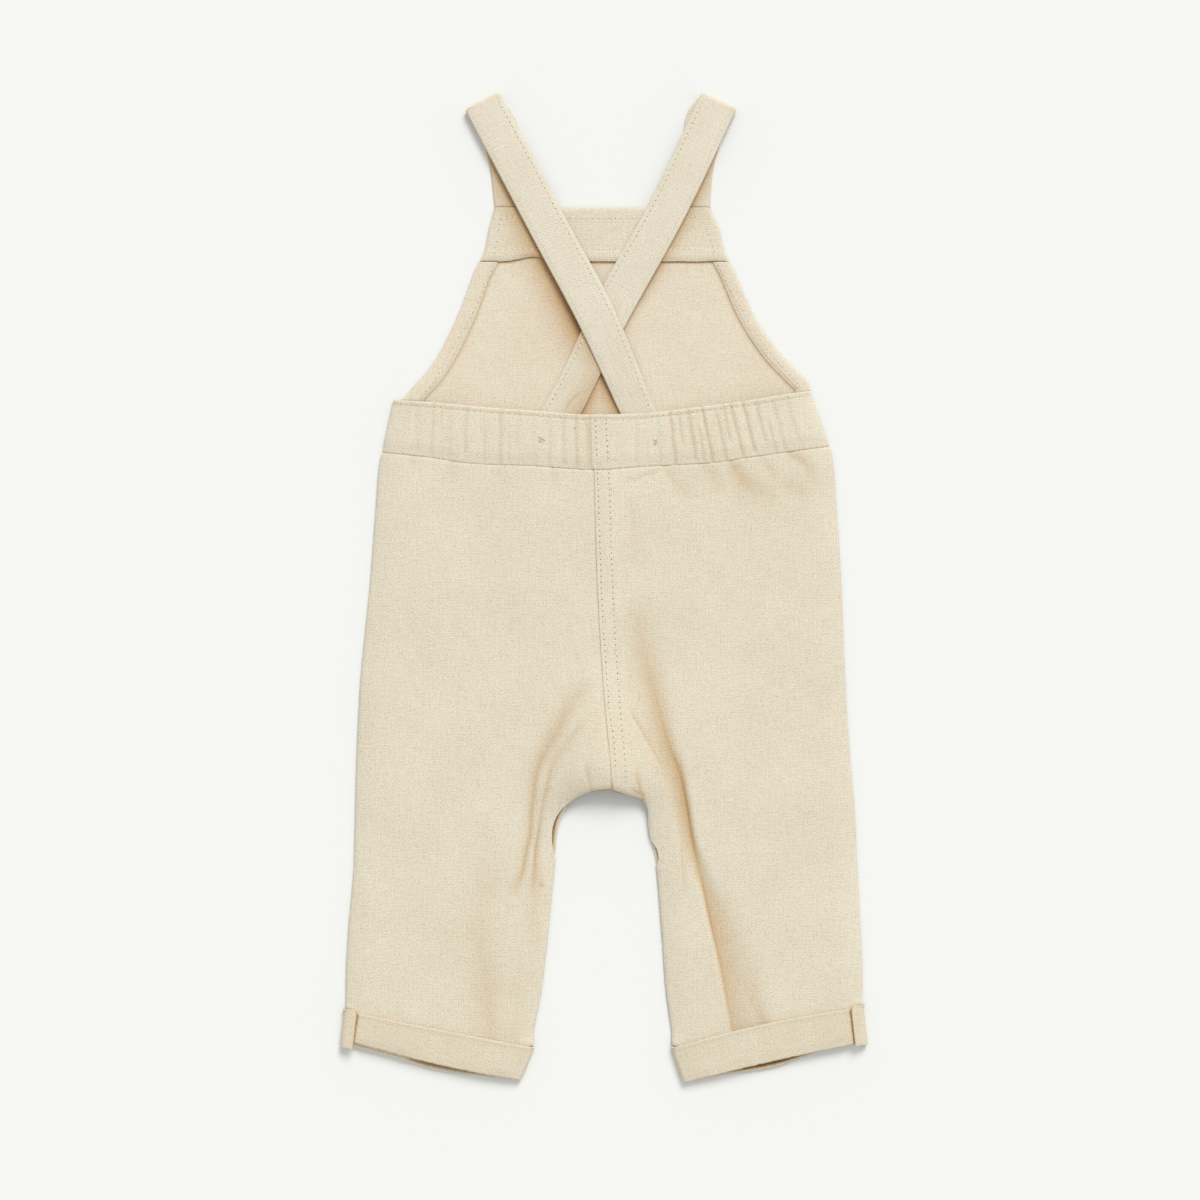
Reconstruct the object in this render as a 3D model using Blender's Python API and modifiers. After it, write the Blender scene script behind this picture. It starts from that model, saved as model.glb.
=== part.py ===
# Baby overalls laid flat and face down, with the back upwards: every piece that is cut and sewn,
# at real size. All tables are in millimetres. x runs to the garment's right, y towards the
# shoulders and z up from the surface that it lies on. Left and right are the wearer's.

import math
from collections import namedtuple

import bmesh
import bpy
import numpy as np

MM = 0.001                  # one millimetre in metres

CLOTH = 1.0                 # wall of one layer of twill
STRAP_WALL = 1.5            # a strap is cloth folded double
BAND_WALL = 2.0             # the waistband holds elastic between two layers
GAP = 0.3                   # clearance between layers and at seams

LAYER = CLOTH + GAP         # one layer of cloth lies this much above the next
LOFT = 2.6                  # how far the back of the garment puffs up between its edges
LOFT_REACH = 14.0           # distance from an edge at which it is at its full height
HEM_LOFT = 0.45             # share of that height that is left inside the cuffs

BIB_TOP = 209.3             # level of the bib's top edge
FACING_EDGE = 179.4         # level of the free lower edge of the facing
FACING_BUMP = (-41.0, 3.2, 9.0)  # where that edge runs higher: its x, how far, and half-width
HEM_WIDTH_LEFT = 9.3        # turned-in hems of the armholes
HEM_WIDTH_RIGHT = 8.2
HEM_TOP_GAP = 0.5           # the armhole hems stop this far from the facing and the waistband
HEM_COLUMNS = 2
SLOPE_SPAN = 4.0            # the slope of an armhole is measured this far above and below a point

STRAP_WIDTH = 21.2
STRAP_FOLD_INSIDE = 2.0     # clear height between the two halves of a strap at the shoulder
STRAP_FOLD_STEPS = 6

PANEL_COLUMNS = 14          # cells across the back of a leg
PANEL_ROW = 12.0            # longest cell along a leg
HIDDEN_COLUMNS = 4          # cells across the hidden front of a leg
BIB_COLUMNS = 12

CUFF_TURN_STEPS = 4         # steps round each side of a cuff
CUFF_SLACK = 0.2            # a cuff's back lies this much looser than a sewn seam
CUFF_OVERHANG = 1.6         # a cuff's fold is this far below the hem of the leg inside it
TAB_REACH = 3.5             # how far a keeper tab reaches onto the back of its cuff
TAB_ABOVE = 1.3             # and how far it stands above the cuff's top edge
TAB_BELOW_LEFT = 5.4        # and below the hem of the leg
TAB_BELOW_RIGHT = 2.4
TAB_WRAP = math.radians(125)  # how far it goes round the side of the cuff
TAB_WRAP_STEPS = 5

# One row for each level of a leg, from the waist seam to the hem: the side seam's place, the
# centre-back seam's or the inseam's place, and how far the middle of the row bows upwards.
# The last two rows are the top and the hem of the cuff, and give the cuff's outer edges.
Section = namedtuple("Section", "side_x side_y inner_x inner_y bow")
LEG_LEFT = (
    Section(-121.8,   73.7,  -5.9,   64.1,  0.0),
    Section(-125.4,   42.6,  -5.2,   39.9,  0.0),
    Section(-128.4,    4.1,  -4.1,    4.1,  0.0),
    Section(-134.2,  -56.4,  -0.6,  -56.4,  0.0),
    Section(-136.1,  -97.0,   3.2,  -97.0,  0.0),
    Section(-136.4, -108.0,   3.9, -109.4,  0.0),
    Section(-136.5, -115.0,  -8.0, -111.9,  0.0),
    Section(-136.7, -121.0, -17.1, -116.6,  0.0),
    Section(-136.8, -128.0, -20.9, -121.0,  0.0),
    Section(-137.0, -137.0, -25.3, -132.8,  0.0),
    Section(-137.5, -154.0, -27.0, -150.0,  0.0),
    Section(-140.6, -190.0, -31.0, -192.0,  0.0),
    Section(-141.9, -216.0, -34.8, -224.0,  0.0),
    Section(-141.9, -227.0, -39.0, -246.0,  0.0),
    Section(-141.6, -233.0, -38.6, -252.6,  0.0),
    Section(-143.9, -247.6, -45.2, -269.3, -1.5),
)
LEG_RIGHT = (
    Section(124.0,   76.2,  -5.6,   64.1,  0.0),
    Section(127.9,   42.6,  -4.9,   39.9,  0.0),
    Section(130.4,    4.1,  -3.8,    4.1,  0.0),
    Section(132.9,  -56.4,  -0.3,  -56.4,  0.0),
    Section(135.7,  -97.0,   3.5,  -97.0,  0.0),
    Section(136.6, -108.0,   4.2, -109.4,  0.0),
    Section(137.3, -115.0,  12.1, -113.0,  0.0),
    Section(137.8, -121.0,  20.5, -116.2,  0.0),
    Section(138.2, -128.0,  24.0, -122.0,  0.0),
    Section(138.6, -137.0,  24.8, -135.0,  0.0),
    Section(139.3, -152.0,  28.4, -150.0,  0.0),
    Section(141.2, -188.0,  32.0, -190.0,  0.0),
    Section(142.2, -212.0,  34.4, -222.0,  0.0),
    Section(142.0, -224.8,  37.5, -246.0,  1.8),
    Section(141.6, -230.8,  37.5, -252.6,  2.3),
    Section(143.9, -249.0,  43.0, -270.6,  1.1),
)
CROTCH = 5                          # row of the tables at the lower end of the centre-back seam
CUFF_TOP = len(LEG_LEFT) - 2        # row where the cuffs begin
ABOVE_CUFF = CUFF_TOP - 1           # row where the legs begin to rise onto the cuffs' fronts
HEM = len(LEG_LEFT) - 1

# How much lower the front layer of each cuff ends than its back layer, from side seam to inseam.
Drop = namedtuple("Drop", "across left right")
CUFF_FRONT_DROP = (
    Drop(0.00, 3.7, 0.4),
    Drop(0.25, 2.4, 1.2),
    Drop(0.50, 2.9, 3.3),
    Drop(0.60, 2.5, 3.0),
    Drop(0.75, 2.0, 1.8),
    Drop(1.00, 0.3, 0.2),
)

# The elasticated waistband from the left side seam to the right one.
Band = namedtuple("Band", "top_x top_y seam_x seam_y")
WAISTBAND = (
    Band(-115.5, 103.1, -121.8, 74.0),
    Band(-91.9,  101.4,  -97.9, 71.4),
    Band(-65.5,   98.9,  -68.2, 67.4),
    Band(-39.6,   97.1,  -41.0, 66.6),
    Band(-7.2,    94.9,   -6.1, 64.4),
    Band(19.8,    95.5,   25.3, 66.3),
    Band(47.3,    98.5,   56.1, 67.9),
    Band(74.8,   102.0,   84.2, 71.8),
    Band(94.1,   105.1,  105.6, 74.8),
    Band(112.8,  108.1,  123.8, 77.3),
)

# Gathers of the waistband: where each valley starts at the top edge and ends at the seam.
Gather = namedtuple("Gather", "top_x seam_x depth")
GATHERS = (
    Gather(-102.5, -103.0, 0.5),
    Gather(-93.5,   -94.5, 0.8),
    Gather(-84.5,   -85.0, 0.6),
    Gather(-75.5,   -76.5, 0.8),
    Gather(-65.0,   -66.0, 0.6),
    Gather(-56.5,   -57.0, 0.8),
    Gather(-47.5,   -48.5, 0.5),
    Gather(-39.0,   -38.0, 0.4),
    Gather(-29.5,   -30.0, 0.7),
    Gather(-22.5,   -22.0, 0.6),
    Gather(-15.5,   -15.0, 0.7),
    Gather(-7.5,     -6.5, 0.5),
    Gather(4.5,       5.5, 0.4),
    Gather(17.0,     18.0, 0.3),
    Gather(29.0,     31.0, 0.4),
    Gather(38.0,     40.5, 0.8),
    Gather(46.0,     50.5, 0.7),
    Gather(54.0,     58.0, 0.8),
    Gather(60.5,     67.0, 0.6),
    Gather(66.5,     74.0, 0.7),
    Gather(75.0,     82.0, 0.8),
    Gather(83.0,     90.0, 0.6),
    Gather(92.0,     98.5, 0.5),
)
GATHER_WIDTH = 2.0          # half-width of each valley
BAND_ROWS = 3

# The bib from its top edge down to the waist seam.
Level = namedtuple("Level", "y left right")
BIB = (
    Level(BIB_TOP, -60.0,  57.8),
    Level(196.6,   -63.3,  63.3),
    Level(185.6,   -65.5,  66.0),
    Level(174.6,   -71.0,  71.5),
    Level(152.6,   -79.2,  80.9),
    Level(130.6,   -89.7,  95.2),
    Level(119.6,   -96.8, 105.6),
    Level(111.4,  -104.2, 112.8),
    Level(104.2,  -110.3, 113.9),
    Level(100.9,  -115.2, 115.0),
    Level(74.0,   -121.6, 123.8),
)

# Rows of the facing from its lower edge up, and how far each stands off the bib in the middle.
Strip = namedtuple("Strip", "y lift")
FACING = (
    Strip(FACING_EDGE, 0.7),
    Strip(186.0,       0.2),
    Strip(197.0,       0.0),
    Strip(BIB_TOP,     0.0),
)

# The straps: centre line of each half, the height of its underside and the width that shows.
# A strap starts at the bib's top edge, turns over at the shoulder and ends inside the waistband.
Stop = namedtuple("Stop", "x y under width")
Strap = namedtuple("Strap", "front shoulder back")
STRAP_LEFT = Strap(
    front=(
        Stop(-49.5, BIB_TOP + GAP, 0.0, STRAP_WIDTH),
        Stop(-52.4, 232.0, 0.0, STRAP_WIDTH),
        Stop(-58.6, 251.5, 0.0, STRAP_WIDTH),
    ),
    shoulder=(-67.2, 267.8),
    back=(
        Stop(-30.0, 197.2, 4.4, STRAP_WIDTH),
        Stop(-3.0,  146.2, 6.6, STRAP_WIDTH),
        Stop(9.5,   118.0, 4.6, 19.8),
        Stop(18.4,   97.3, 1.4, 18.6),
        Stop(28.6,   77.5, 1.3, 18.6),
    ),
)
STRAP_RIGHT = Strap(
    front=(
        Stop(47.8, BIB_TOP + GAP, 0.0, STRAP_WIDTH),
        Stop(49.8, 232.0, 0.0, STRAP_WIDTH),
        Stop(55.2, 251.5, 0.0, STRAP_WIDTH),
    ),
    shoulder=(63.5, 267.9),
    back=(
        Stop(35.0,  208.0, 3.7, STRAP_WIDTH),
        Stop(3.0,   149.9, 4.4, STRAP_WIDTH),
        Stop(-11.2, 120.6, 3.2, 19.6),
        Stop(-22.6,  98.2, 1.4, 20.2),
        Stop(-34.5,  78.0, 1.3, 20.2),
    ),
)
STRAP_STEP = 6.5            # longest cell along a strap
STRAP_COLUMNS = 2

# Largest folds of the back: three points that a trough or ridge passes, its height and half-width.
Fold = namedtuple("Fold", "start middle end height width")
FOLDS = (
    Fold((28, -56), (47, -133), (69, -243), -1.5, 6.0),
    Fold((14, -68), (26, -92), (35, -117), -0.7, 5.0),
    Fold((39, -109), (42, -134), (44, -172), -0.6, 4.0),
    Fold((60, -100), (66, -150), (80, -205), 0.6, 9.0),
    Fold((-2, -56), (-37, -112), (-47, -175), -1.0, 7.0),
    Fold((-27, -101), (-33, -130), (-39, -163), -0.8, 4.5),
    Fold((-57, -172), (-63, -205), (-69, -241), -0.6, 9.0),
    Fold((-30, -120), (-43, -140), (-45, -170), 0.5, 4.0),
    Fold((72, 66), (75, 60), (76, 52), -0.7, 4.5),
    Fold((20, 62), (26, 63), (31, 66), -0.6, 4.5),
)
FOLD_SAMPLES = 17


def fold_path(fold):
    """Points along the parabola through the three points of a fold."""
    t = np.linspace(0.0, 1.0, FOLD_SAMPLES)[:, None]
    start, middle, end = (np.array(point, float) for point in fold[:3])
    return start * (1 - t) * (1 - 2 * t) + middle * 4 * t * (1 - t) + end * t * (2 * t - 1)


def distance_along(point, path):
    """Shortest distance from a point to a polyline, and how far along it that is, 0 to 1."""
    starts = path[:-1]
    runs = path[1:] - starts
    share = ((point - starts) * runs).sum(1) / (runs ** 2).sum(1)
    share = np.clip(share, 0.0, 1.0)
    gaps = np.linalg.norm(starts + runs * share[:, None] - point, axis=1)
    nearest = int(gaps.argmin())
    return gaps[nearest], (nearest + share[nearest]) / len(runs)


def back_underside(x, y, row=0.0):
    """Height of the underside of the garment's back at a place and at a row of the leg tables."""
    point = np.array((x, y))
    distance = min(distance_along(point, edge)[0] for edge in EDGES)
    puff = math.sqrt(1 - (1 - min(distance / LOFT_REACH, 1.0)) ** 2)
    rise = cuff_rise(row)
    lowest = LAYER * (1 + rise)
    height = lowest + LOFT * puff * (1 - (1 - HEM_LOFT) * rise)
    for fold, path in zip(FOLDS, FOLD_PATHS):
        gap, along = distance_along(point, path)
        height += fold.height * math.exp(-(gap / fold.width) ** 2) * math.sin(math.pi * along) ** 0.5
    return max(height, lowest)


def cuff_rise(row):
    """0 on the leg and 1 inside the cuff, where the leg lies on the front layer of the cuff."""
    share = min(max(row - ABOVE_CUFF, 0.0), 1.0)
    return share * share * (3 - 2 * share)


def column_value(table, row, column):
    """A column of a table at a row number that may lie between two rows."""
    return float(np.interp(row, range(len(table)), [line[column] for line in table]))


def waist_seam(x):
    """Level of the waist seam."""
    return float(np.interp(x, [row.seam_x for row in WAISTBAND], [row.seam_y for row in WAISTBAND]))


def waistband_top(x):
    """Level of the top edge of the waistband."""
    return float(np.interp(x, [row.top_x for row in WAISTBAND], [row.top_y for row in WAISTBAND]))


def leg_rows():
    """Row numbers of the cells along a leg, none longer than PANEL_ROW."""
    rows = []
    for index in range(HEM):
        here, after = LEG_LEFT[index], LEG_LEFT[index + 1]
        run = max(math.dist(here[:2], after[:2]), math.dist(here[2:4], after[2:4]))
        count = math.ceil(run / PANEL_ROW)
        rows += [index + step / count for step in range(count)]
    return rows + [HEM]


def eased(across):
    """Cells are narrower near both edges of a panel."""
    return 0.5 * across + 0.25 * (1 - math.cos(math.pi * across))


def cuff_tuck():
    """How far the leg's edges lie inside the outer edges of the cuff round them."""
    return cuff_turn_radius() + CLOTH / 2


def cuff_turn_radius():
    """Radius of the middle of the wall where a cuff turns round its side."""
    return (3 * LAYER + CUFF_SLACK) / 2


def leg_place(leg, across, row):
    """Plan position on a leg, from side seam (0) to inner edge (1)."""
    side_x, side_y, inner_x, inner_y, bow = (column_value(leg, row, i) for i in range(5))
    tuck = cuff_tuck() * max(0.0, min(1.0, row - ABOVE_CUFF))
    inward = math.copysign(tuck, inner_x - side_x)
    side_x += inward
    inner_x -= inward
    x = side_x + (inner_x - side_x) * across
    y = side_y + (inner_y - side_y) * across + 4 * bow * across * (1 - across)
    if row < 1:
        seam = waist_seam(x) - GAP / 2
        y = seam * (1 - row) + y * row
    return x, y


def free_edges():
    """The garment's edges that the back slopes down to: both side seams and the inseams."""
    sides = []
    for leg, band in ((LEG_LEFT, WAISTBAND[0]), (LEG_RIGHT, WAISTBAND[-1])):
        sides.append([(band.top_x, band.top_y)] + [leg_place(leg, 0.0, row) for row in range(HEM + 1)])
    inseams = [leg_place(LEG_LEFT, 1.0, row) for row in range(HEM, CROTCH - 1, -1)]
    inseams += [leg_place(LEG_RIGHT, 1.0, row) for row in range(CROTCH, HEM + 1)]
    return [np.array(edge, float) for edge in sides + [inseams]]


EDGES = free_edges()
FOLD_PATHS = [fold_path(fold) for fold in FOLDS]


def cuff_shape(leg, row, shift):
    """Points round a cuff in the middle of its wall, from its left side over the back to its right
    side and back under the front. shift tells how far its back and its front move down."""
    radius = cuff_turn_radius()
    spread = [eased(step / PANEL_COLUMNS) for step in range(PANEL_COLUMNS + 1)]
    if leg is LEG_RIGHT:
        spread = spread[::-1]
    back = []
    front = []
    for across in spread:
        x, y = leg_place(leg, across, row)
        down_back, down_front = shift(across)
        height = back_underside(x, y, row) + LAYER + CUFF_SLACK + CLOTH / 2
        back.append((x, y - down_back, height))
        front.append((x, y - down_front, CLOTH / 2))
    turns = []
    for end, sign in ((-1, 1), (0, -1)):
        turn = []
        for step in range(1, CUFF_TURN_STEPS):
            angle = math.pi * step / CUFF_TURN_STEPS
            share = step / CUFF_TURN_STEPS
            upper, lower = back[end], front[end]
            y = upper[1] + (lower[1] - upper[1]) * share
            x = upper[0] + sign * radius * math.sin(angle)
            z = CLOTH / 2 + radius + radius * math.cos(angle)
            turn.append((x, y, z))
        turns.append(turn)
    right_turn, left_turn = turns
    return back + right_turn + front[::-1] + left_turn[::-1]


def front_drop(leg, across):
    """How much lower the front of a cuff ends than its back."""
    column = 1 if leg is LEG_LEFT else 2
    places = [row.across for row in CUFF_FRONT_DROP]
    return float(np.interp(across, places, [row[column] for row in CUFF_FRONT_DROP]))


def clear_scene():
    for item in list(bpy.data.objects):
        bpy.data.objects.remove(item, do_unlink=True)


def twill(name, colour):
    """Oatmeal twill: rough, with no shine."""
    material = bpy.data.materials.new(name)
    material.use_nodes = True
    shader = material.node_tree.nodes["Principled BSDF"]
    shader.inputs["Base Color"].default_value = (*colour, 1.0)
    shader.inputs["Roughness"].default_value = 0.9
    shader.inputs["Metallic"].default_value = 0.0
    return material


FACE_COLOUR = (0.77, 0.69, 0.54)
INSIDE_COLOUR = (0.76, 0.66, 0.51)


def add_piece(name, shape, wall, side, colour):
    """Make an object of an open surface and give it its wall. side is 1 where the surface is the
    underside of the cloth and 0 where it is the middle of it."""
    mesh = bpy.data.meshes.new(name)
    shape.to_mesh(mesh)
    shape.free()
    mesh.materials.append(twill(name + "_twill", colour))
    piece = bpy.data.objects.new(name, mesh)
    GARMENT.objects.link(piece)
    solidify = piece.modifiers.new("Wall", "SOLIDIFY")
    solidify.thickness = wall * MM
    solidify.offset = side
    return piece


def cloth_panel(name, columns, rows, place, wall=CLOTH, side=1.0, colour=FACE_COLOUR):
    """A flat piece of cloth: a grid whose points a function puts in place."""
    shape = bmesh.new()
    bmesh.ops.create_grid(shape, x_segments=columns, y_segments=rows, size=0.5)
    for vert in shape.verts:
        column = round((vert.co.x + 0.5) * columns)
        row = round((vert.co.y + 0.5) * rows)
        vert.co = [value * MM for value in place(column, row)]
    return add_piece(name, shape, wall, side, colour)


def cloth_ring(name, rings, wall=CLOTH, colour=FACE_COLOUR):
    """A tube of cloth through rings of points, the lowest ring first."""
    count = len(rings[0])
    shape = bmesh.new()
    bmesh.ops.create_cone(shape, cap_ends=False, segments=count, radius1=1, radius2=1, depth=1)
    levels = len(rings) - 1
    if levels > 1:
        uprights = [edge for edge in shape.edges if abs(edge.verts[0].co.z - edge.verts[1].co.z) > 0.5]
        bmesh.ops.subdivide_edges(shape, edges=uprights, cuts=levels - 1)
    for vert in shape.verts:
        index = round(math.atan2(vert.co.x, vert.co.y) / math.tau * count) % count
        level = round((vert.co.z + 0.5) * levels)
        vert.co = [value * MM for value in rings[level][index]]
    return add_piece(name, shape, wall, 0.0, colour)


def make_back_leg(name, leg):
    rows = leg_rows()

    def place(column, row):
        across = eased(column / PANEL_COLUMNS)
        if leg is LEG_RIGHT:
            across = 1 - across
        level = rows[len(rows) - 1 - row]
        x, y = leg_place(leg, across, level)
        return x, y, back_underside(x, y, level)

    return cloth_panel(name, PANEL_COLUMNS, len(rows) - 1, place)


def make_front_leg(name, leg):
    def place(column, row):
        across = column / HIDDEN_COLUMNS
        if leg is LEG_RIGHT:
            across = 1 - across
        level = HEM - row
        x, y = leg_place(leg, across, level)
        return x, y, LAYER * cuff_rise(level)

    return cloth_panel(name, HIDDEN_COLUMNS, HEM, place)


def make_cuff(name, leg):
    def at_hem(across):
        return CUFF_OVERHANG, CUFF_OVERHANG + front_drop(leg, across)

    def at_top(_across):
        return 0.0, 0.0

    middle = (CUFF_TOP + HEM) / 2
    rings = [cuff_shape(leg, HEM, at_hem), cuff_shape(leg, middle, at_top), cuff_shape(leg, CUFF_TOP, at_top)]
    return cloth_ring(name, rings)


def make_cuff_tab(name, leg, below):
    """A narrow tab over the side of the cuff, made from the cuff's own points, moved out."""
    sign = -1 if leg is LEG_LEFT else 1
    radius = cuff_turn_radius() + LAYER
    centre = CLOTH / 2 + cuff_turn_radius()
    levels = ((HEM, -below), ((CUFF_TOP + HEM) / 2, 0.0), (CUFF_TOP, TAB_ABOVE))
    columns = TAB_WRAP_STEPS + 1

    def place(column, row):
        index = column if leg is LEG_RIGHT else columns - column
        level, rise = levels[row]
        x, y = leg_place(leg, 0.0, level)
        if index > 0:
            angle = TAB_WRAP * (index - 1) / TAB_WRAP_STEPS
            x += sign * radius * math.sin(angle)
            return x, y + rise, centre + radius * math.cos(angle)
        next_x, next_y = leg_place(leg, eased(1 / PANEL_COLUMNS), level)
        climb = back_underside(next_x, next_y, level) - back_underside(x, y, level)
        share = TAB_REACH / abs(next_x - x)
        x += (next_x - x) * share
        y += (next_y - y) * share
        return x, y + rise, centre + radius + climb * share

    return cloth_panel(name, columns, len(levels) - 1, place, side=0.0)


def make_waistband():
    """The gathered band: each valley has its own column of points, with one at each flank and one
    on the ridge that follows it."""
    columns = [(WAISTBAND[0].top_x, WAISTBAND[0].seam_x)]
    for index, gather in enumerate(GATHERS):
        for offset in (-GATHER_WIDTH, 0.0, GATHER_WIDTH):
            columns.append((gather.top_x + offset, gather.seam_x + offset))
        after = GATHERS[index + 1] if index + 1 < len(GATHERS) else None
        if after:
            columns.append(((gather.top_x + after.top_x) / 2, (gather.seam_x + after.seam_x) / 2))
    columns.append((WAISTBAND[-1].top_x, WAISTBAND[-1].seam_x))

    def place(column, row):
        share = row / BAND_ROWS
        top_x, seam_x = columns[column]
        x = seam_x + (top_x - seam_x) * share
        y = waist_seam(seam_x) + GAP / 2 + (waistband_top(top_x) - waist_seam(seam_x)) * share
        height = back_underside(x, y)
        for gather in GATHERS:
            valley = gather.seam_x + (gather.top_x - gather.seam_x) * share
            height -= gather.depth * math.exp(-((x - valley) / GATHER_WIDTH) ** 2)
        return x, y, max(height, LAYER)

    return cloth_panel("back_waistband", len(columns) - 1, BAND_ROWS, place, wall=BAND_WALL)


def bib_edges(y):
    """Left and right edge of the bib at a level."""
    levels = [row.y for row in BIB][::-1]
    left = np.interp(y, levels, [row.left for row in BIB][::-1])
    right = np.interp(y, levels, [row.right for row in BIB][::-1])
    return float(left), float(right)


def make_bib():
    last = len(BIB) - 1

    def place(column, row):
        level = BIB[last - row]
        x = level.left + (level.right - level.left) * column / BIB_COLUMNS
        y = waist_seam(x) + GAP / 2 if row == 0 else level.y
        return x, y, 0.0

    return cloth_panel("bib", BIB_COLUMNS, last, place, colour=INSIDE_COLOUR)


def make_facing():
    """The strip across the top of the bib. Its lower edge is loose between the armhole hems."""
    bump_x, bump, bump_width = FACING_BUMP

    def place(column, row):
        y, lift = FACING[row]
        left, right = bib_edges(y)
        share = column / BIB_COLUMNS
        x = left + (right - left) * share
        if row == 0:
            y += bump * math.exp(-((x - bump_x) / bump_width) ** 2)
        return x, y, LAYER + lift * math.sin(math.pi * share) ** 2

    return cloth_panel("bib_facing", BIB_COLUMNS, len(FACING) - 1, place)


def make_armhole_hem(name, sign, width):
    """The edge of the armhole turned in onto the bib, from the facing to the waistband."""
    top = FACING_EDGE - HEM_TOP_GAP
    levels = [row.y for row in BIB if waistband_top(bib_edges(row.y)[sign > 0]) < row.y < top]
    levels = levels[::-1] + [top]

    def place(column, row):
        share = column / HEM_COLUMNS if sign < 0 else 1 - column / HEM_COLUMNS
        level = levels[row]
        here = bib_edges(level)[sign > 0]
        above = bib_edges(level + SLOPE_SPAN)[sign > 0]
        below = bib_edges(level - SLOPE_SPAN)[sign > 0]
        slope = math.atan2(abs(below - above), 2 * SLOPE_SPAN)
        x = here - sign * width * share * math.cos(slope)
        y = level - width * share * math.sin(slope)
        if row == 0:
            y = waistband_top(x) + HEM_TOP_GAP
        if row == len(levels) - 1:
            y = top
        return x, y, LAYER

    return cloth_panel(name, HEM_COLUMNS, len(levels) - 1, place)


def strap_half(stops):
    """Evenly spaced values along one half of a strap: x, y, underside and width."""
    xs, ys, unders, widths = (np.array(values, float) for values in zip(*stops))
    lengths = np.concatenate(([0], np.cumsum(np.hypot(np.diff(xs), np.diff(ys)))))
    count = math.ceil(lengths[-1] / STRAP_STEP)
    at = np.linspace(0, lengths[-1], count + 1)
    return [smooth(lengths, values, at) for values in (xs, ys, unders, widths)]


def smooth(places, values, at):
    """Values on a smooth curve through the given ones (cubic, with the slope of the neighbours)."""
    slopes = np.gradient(values, places)
    index = np.clip(np.searchsorted(places, at, side="right") - 1, 0, len(places) - 2)
    run = places[index + 1] - places[index]
    t = (at - places[index]) / run
    start, end = values[index], values[index + 1]
    rise = slopes[index] * run
    fall = slopes[index + 1] * run
    return (start * (2 * t ** 3 - 3 * t ** 2 + 1) + rise * (t ** 3 - 2 * t ** 2 + t)
            + end * (3 * t ** 2 - 2 * t ** 3) + fall * (t ** 3 - t ** 2))


def make_strap(name, strap):
    """One loop: up from the bib, over the fold at the shoulder, and down across the back."""
    turn = (STRAP_WALL + STRAP_FOLD_INSIDE) / 2
    shoulder = np.array(strap.shoulder)
    first_back = strap.back[0]
    away = np.array((first_back.x, first_back.y)) - shoulder
    away /= np.linalg.norm(away)
    centre = shoulder + away * (turn + STRAP_WALL / 2)

    low = Stop(*centre, 0.0, STRAP_WIDTH)
    high = Stop(*centre, 2 * turn, STRAP_WIDTH)
    front = strap_half(strap.front + (low,))
    back = strap_half((high,) + strap.back)

    spine = []
    xs, ys, unders, widths = front
    across = across_of(xs, ys)
    across[0] = (1.0, 0.0)      # the end is cut level with the bib's top edge
    for i in range(len(xs) - 1):
        spine.append((xs[i], ys[i], unders[i] + STRAP_WALL / 2, widths[i], across[i]))
    fold_across = np.array((-away[1], away[0]))
    fold_across *= math.copysign(1.0, fold_across[0])
    for step in range(STRAP_FOLD_STEPS + 1):
        angle = math.pi * step / STRAP_FOLD_STEPS
        x, y = centre - away * turn * math.sin(angle)
        z = STRAP_WALL / 2 + turn * (1 - math.cos(angle))
        spine.append((x, y, z, STRAP_WIDTH, fold_across))
    xs, ys, unders, widths = back
    across = across_of(xs, ys)
    for i in range(1, len(xs)):
        spine.append((xs[i], ys[i], unders[i] + STRAP_WALL / 2, widths[i], across[i]))

    def place(column, row):
        x, y, z, width, side = spine[row]
        offset = width * (column / STRAP_COLUMNS - 0.5)
        return x + side[0] * offset, y + side[1] * offset, z

    return cloth_panel(name, STRAP_COLUMNS, len(spine) - 1, place, wall=STRAP_WALL, side=0.0)


def across_of(xs, ys):
    """Unit vectors across a path, towards +x."""
    along = np.stack((np.gradient(xs), np.gradient(ys)), axis=1)
    along /= np.linalg.norm(along, axis=1)[:, None]
    across = np.stack((-along[:, 1], along[:, 0]), axis=1)
    return across * np.sign(across[:, :1])


clear_scene()
GARMENT = bpy.data.collections.new("baby_overalls")
bpy.context.scene.collection.children.link(GARMENT)

make_bib()
make_facing()
make_armhole_hem("armhole_hem_left", -1, HEM_WIDTH_LEFT)
make_armhole_hem("armhole_hem_right", 1, HEM_WIDTH_RIGHT)
make_front_leg("front_leg_left", LEG_LEFT)
make_front_leg("front_leg_right", LEG_RIGHT)
make_back_leg("back_leg_left", LEG_LEFT)
make_back_leg("back_leg_right", LEG_RIGHT)
make_waistband()
make_strap("strap_left", STRAP_LEFT)
make_strap("strap_right", STRAP_RIGHT)
make_cuff("cuff_left", LEG_LEFT)
make_cuff("cuff_right", LEG_RIGHT)
make_cuff_tab("cuff_tab_left", LEG_LEFT, TAB_BELOW_LEFT)
make_cuff_tab("cuff_tab_right", LEG_RIGHT, TAB_BELOW_RIGHT)
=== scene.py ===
# Baby overalls in oatmeal linen and cotton twill, laid flat and face down with the back upwards.
# All lengths in the tables are millimetres: x to the garment's right, y towards the shoulders and
# z up from the surface that it lies on. Left and right are the wearer's.

import math

import bpy
import numpy as np
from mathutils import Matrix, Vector, noise
from mathutils.bvhtree import BVHTree


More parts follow.
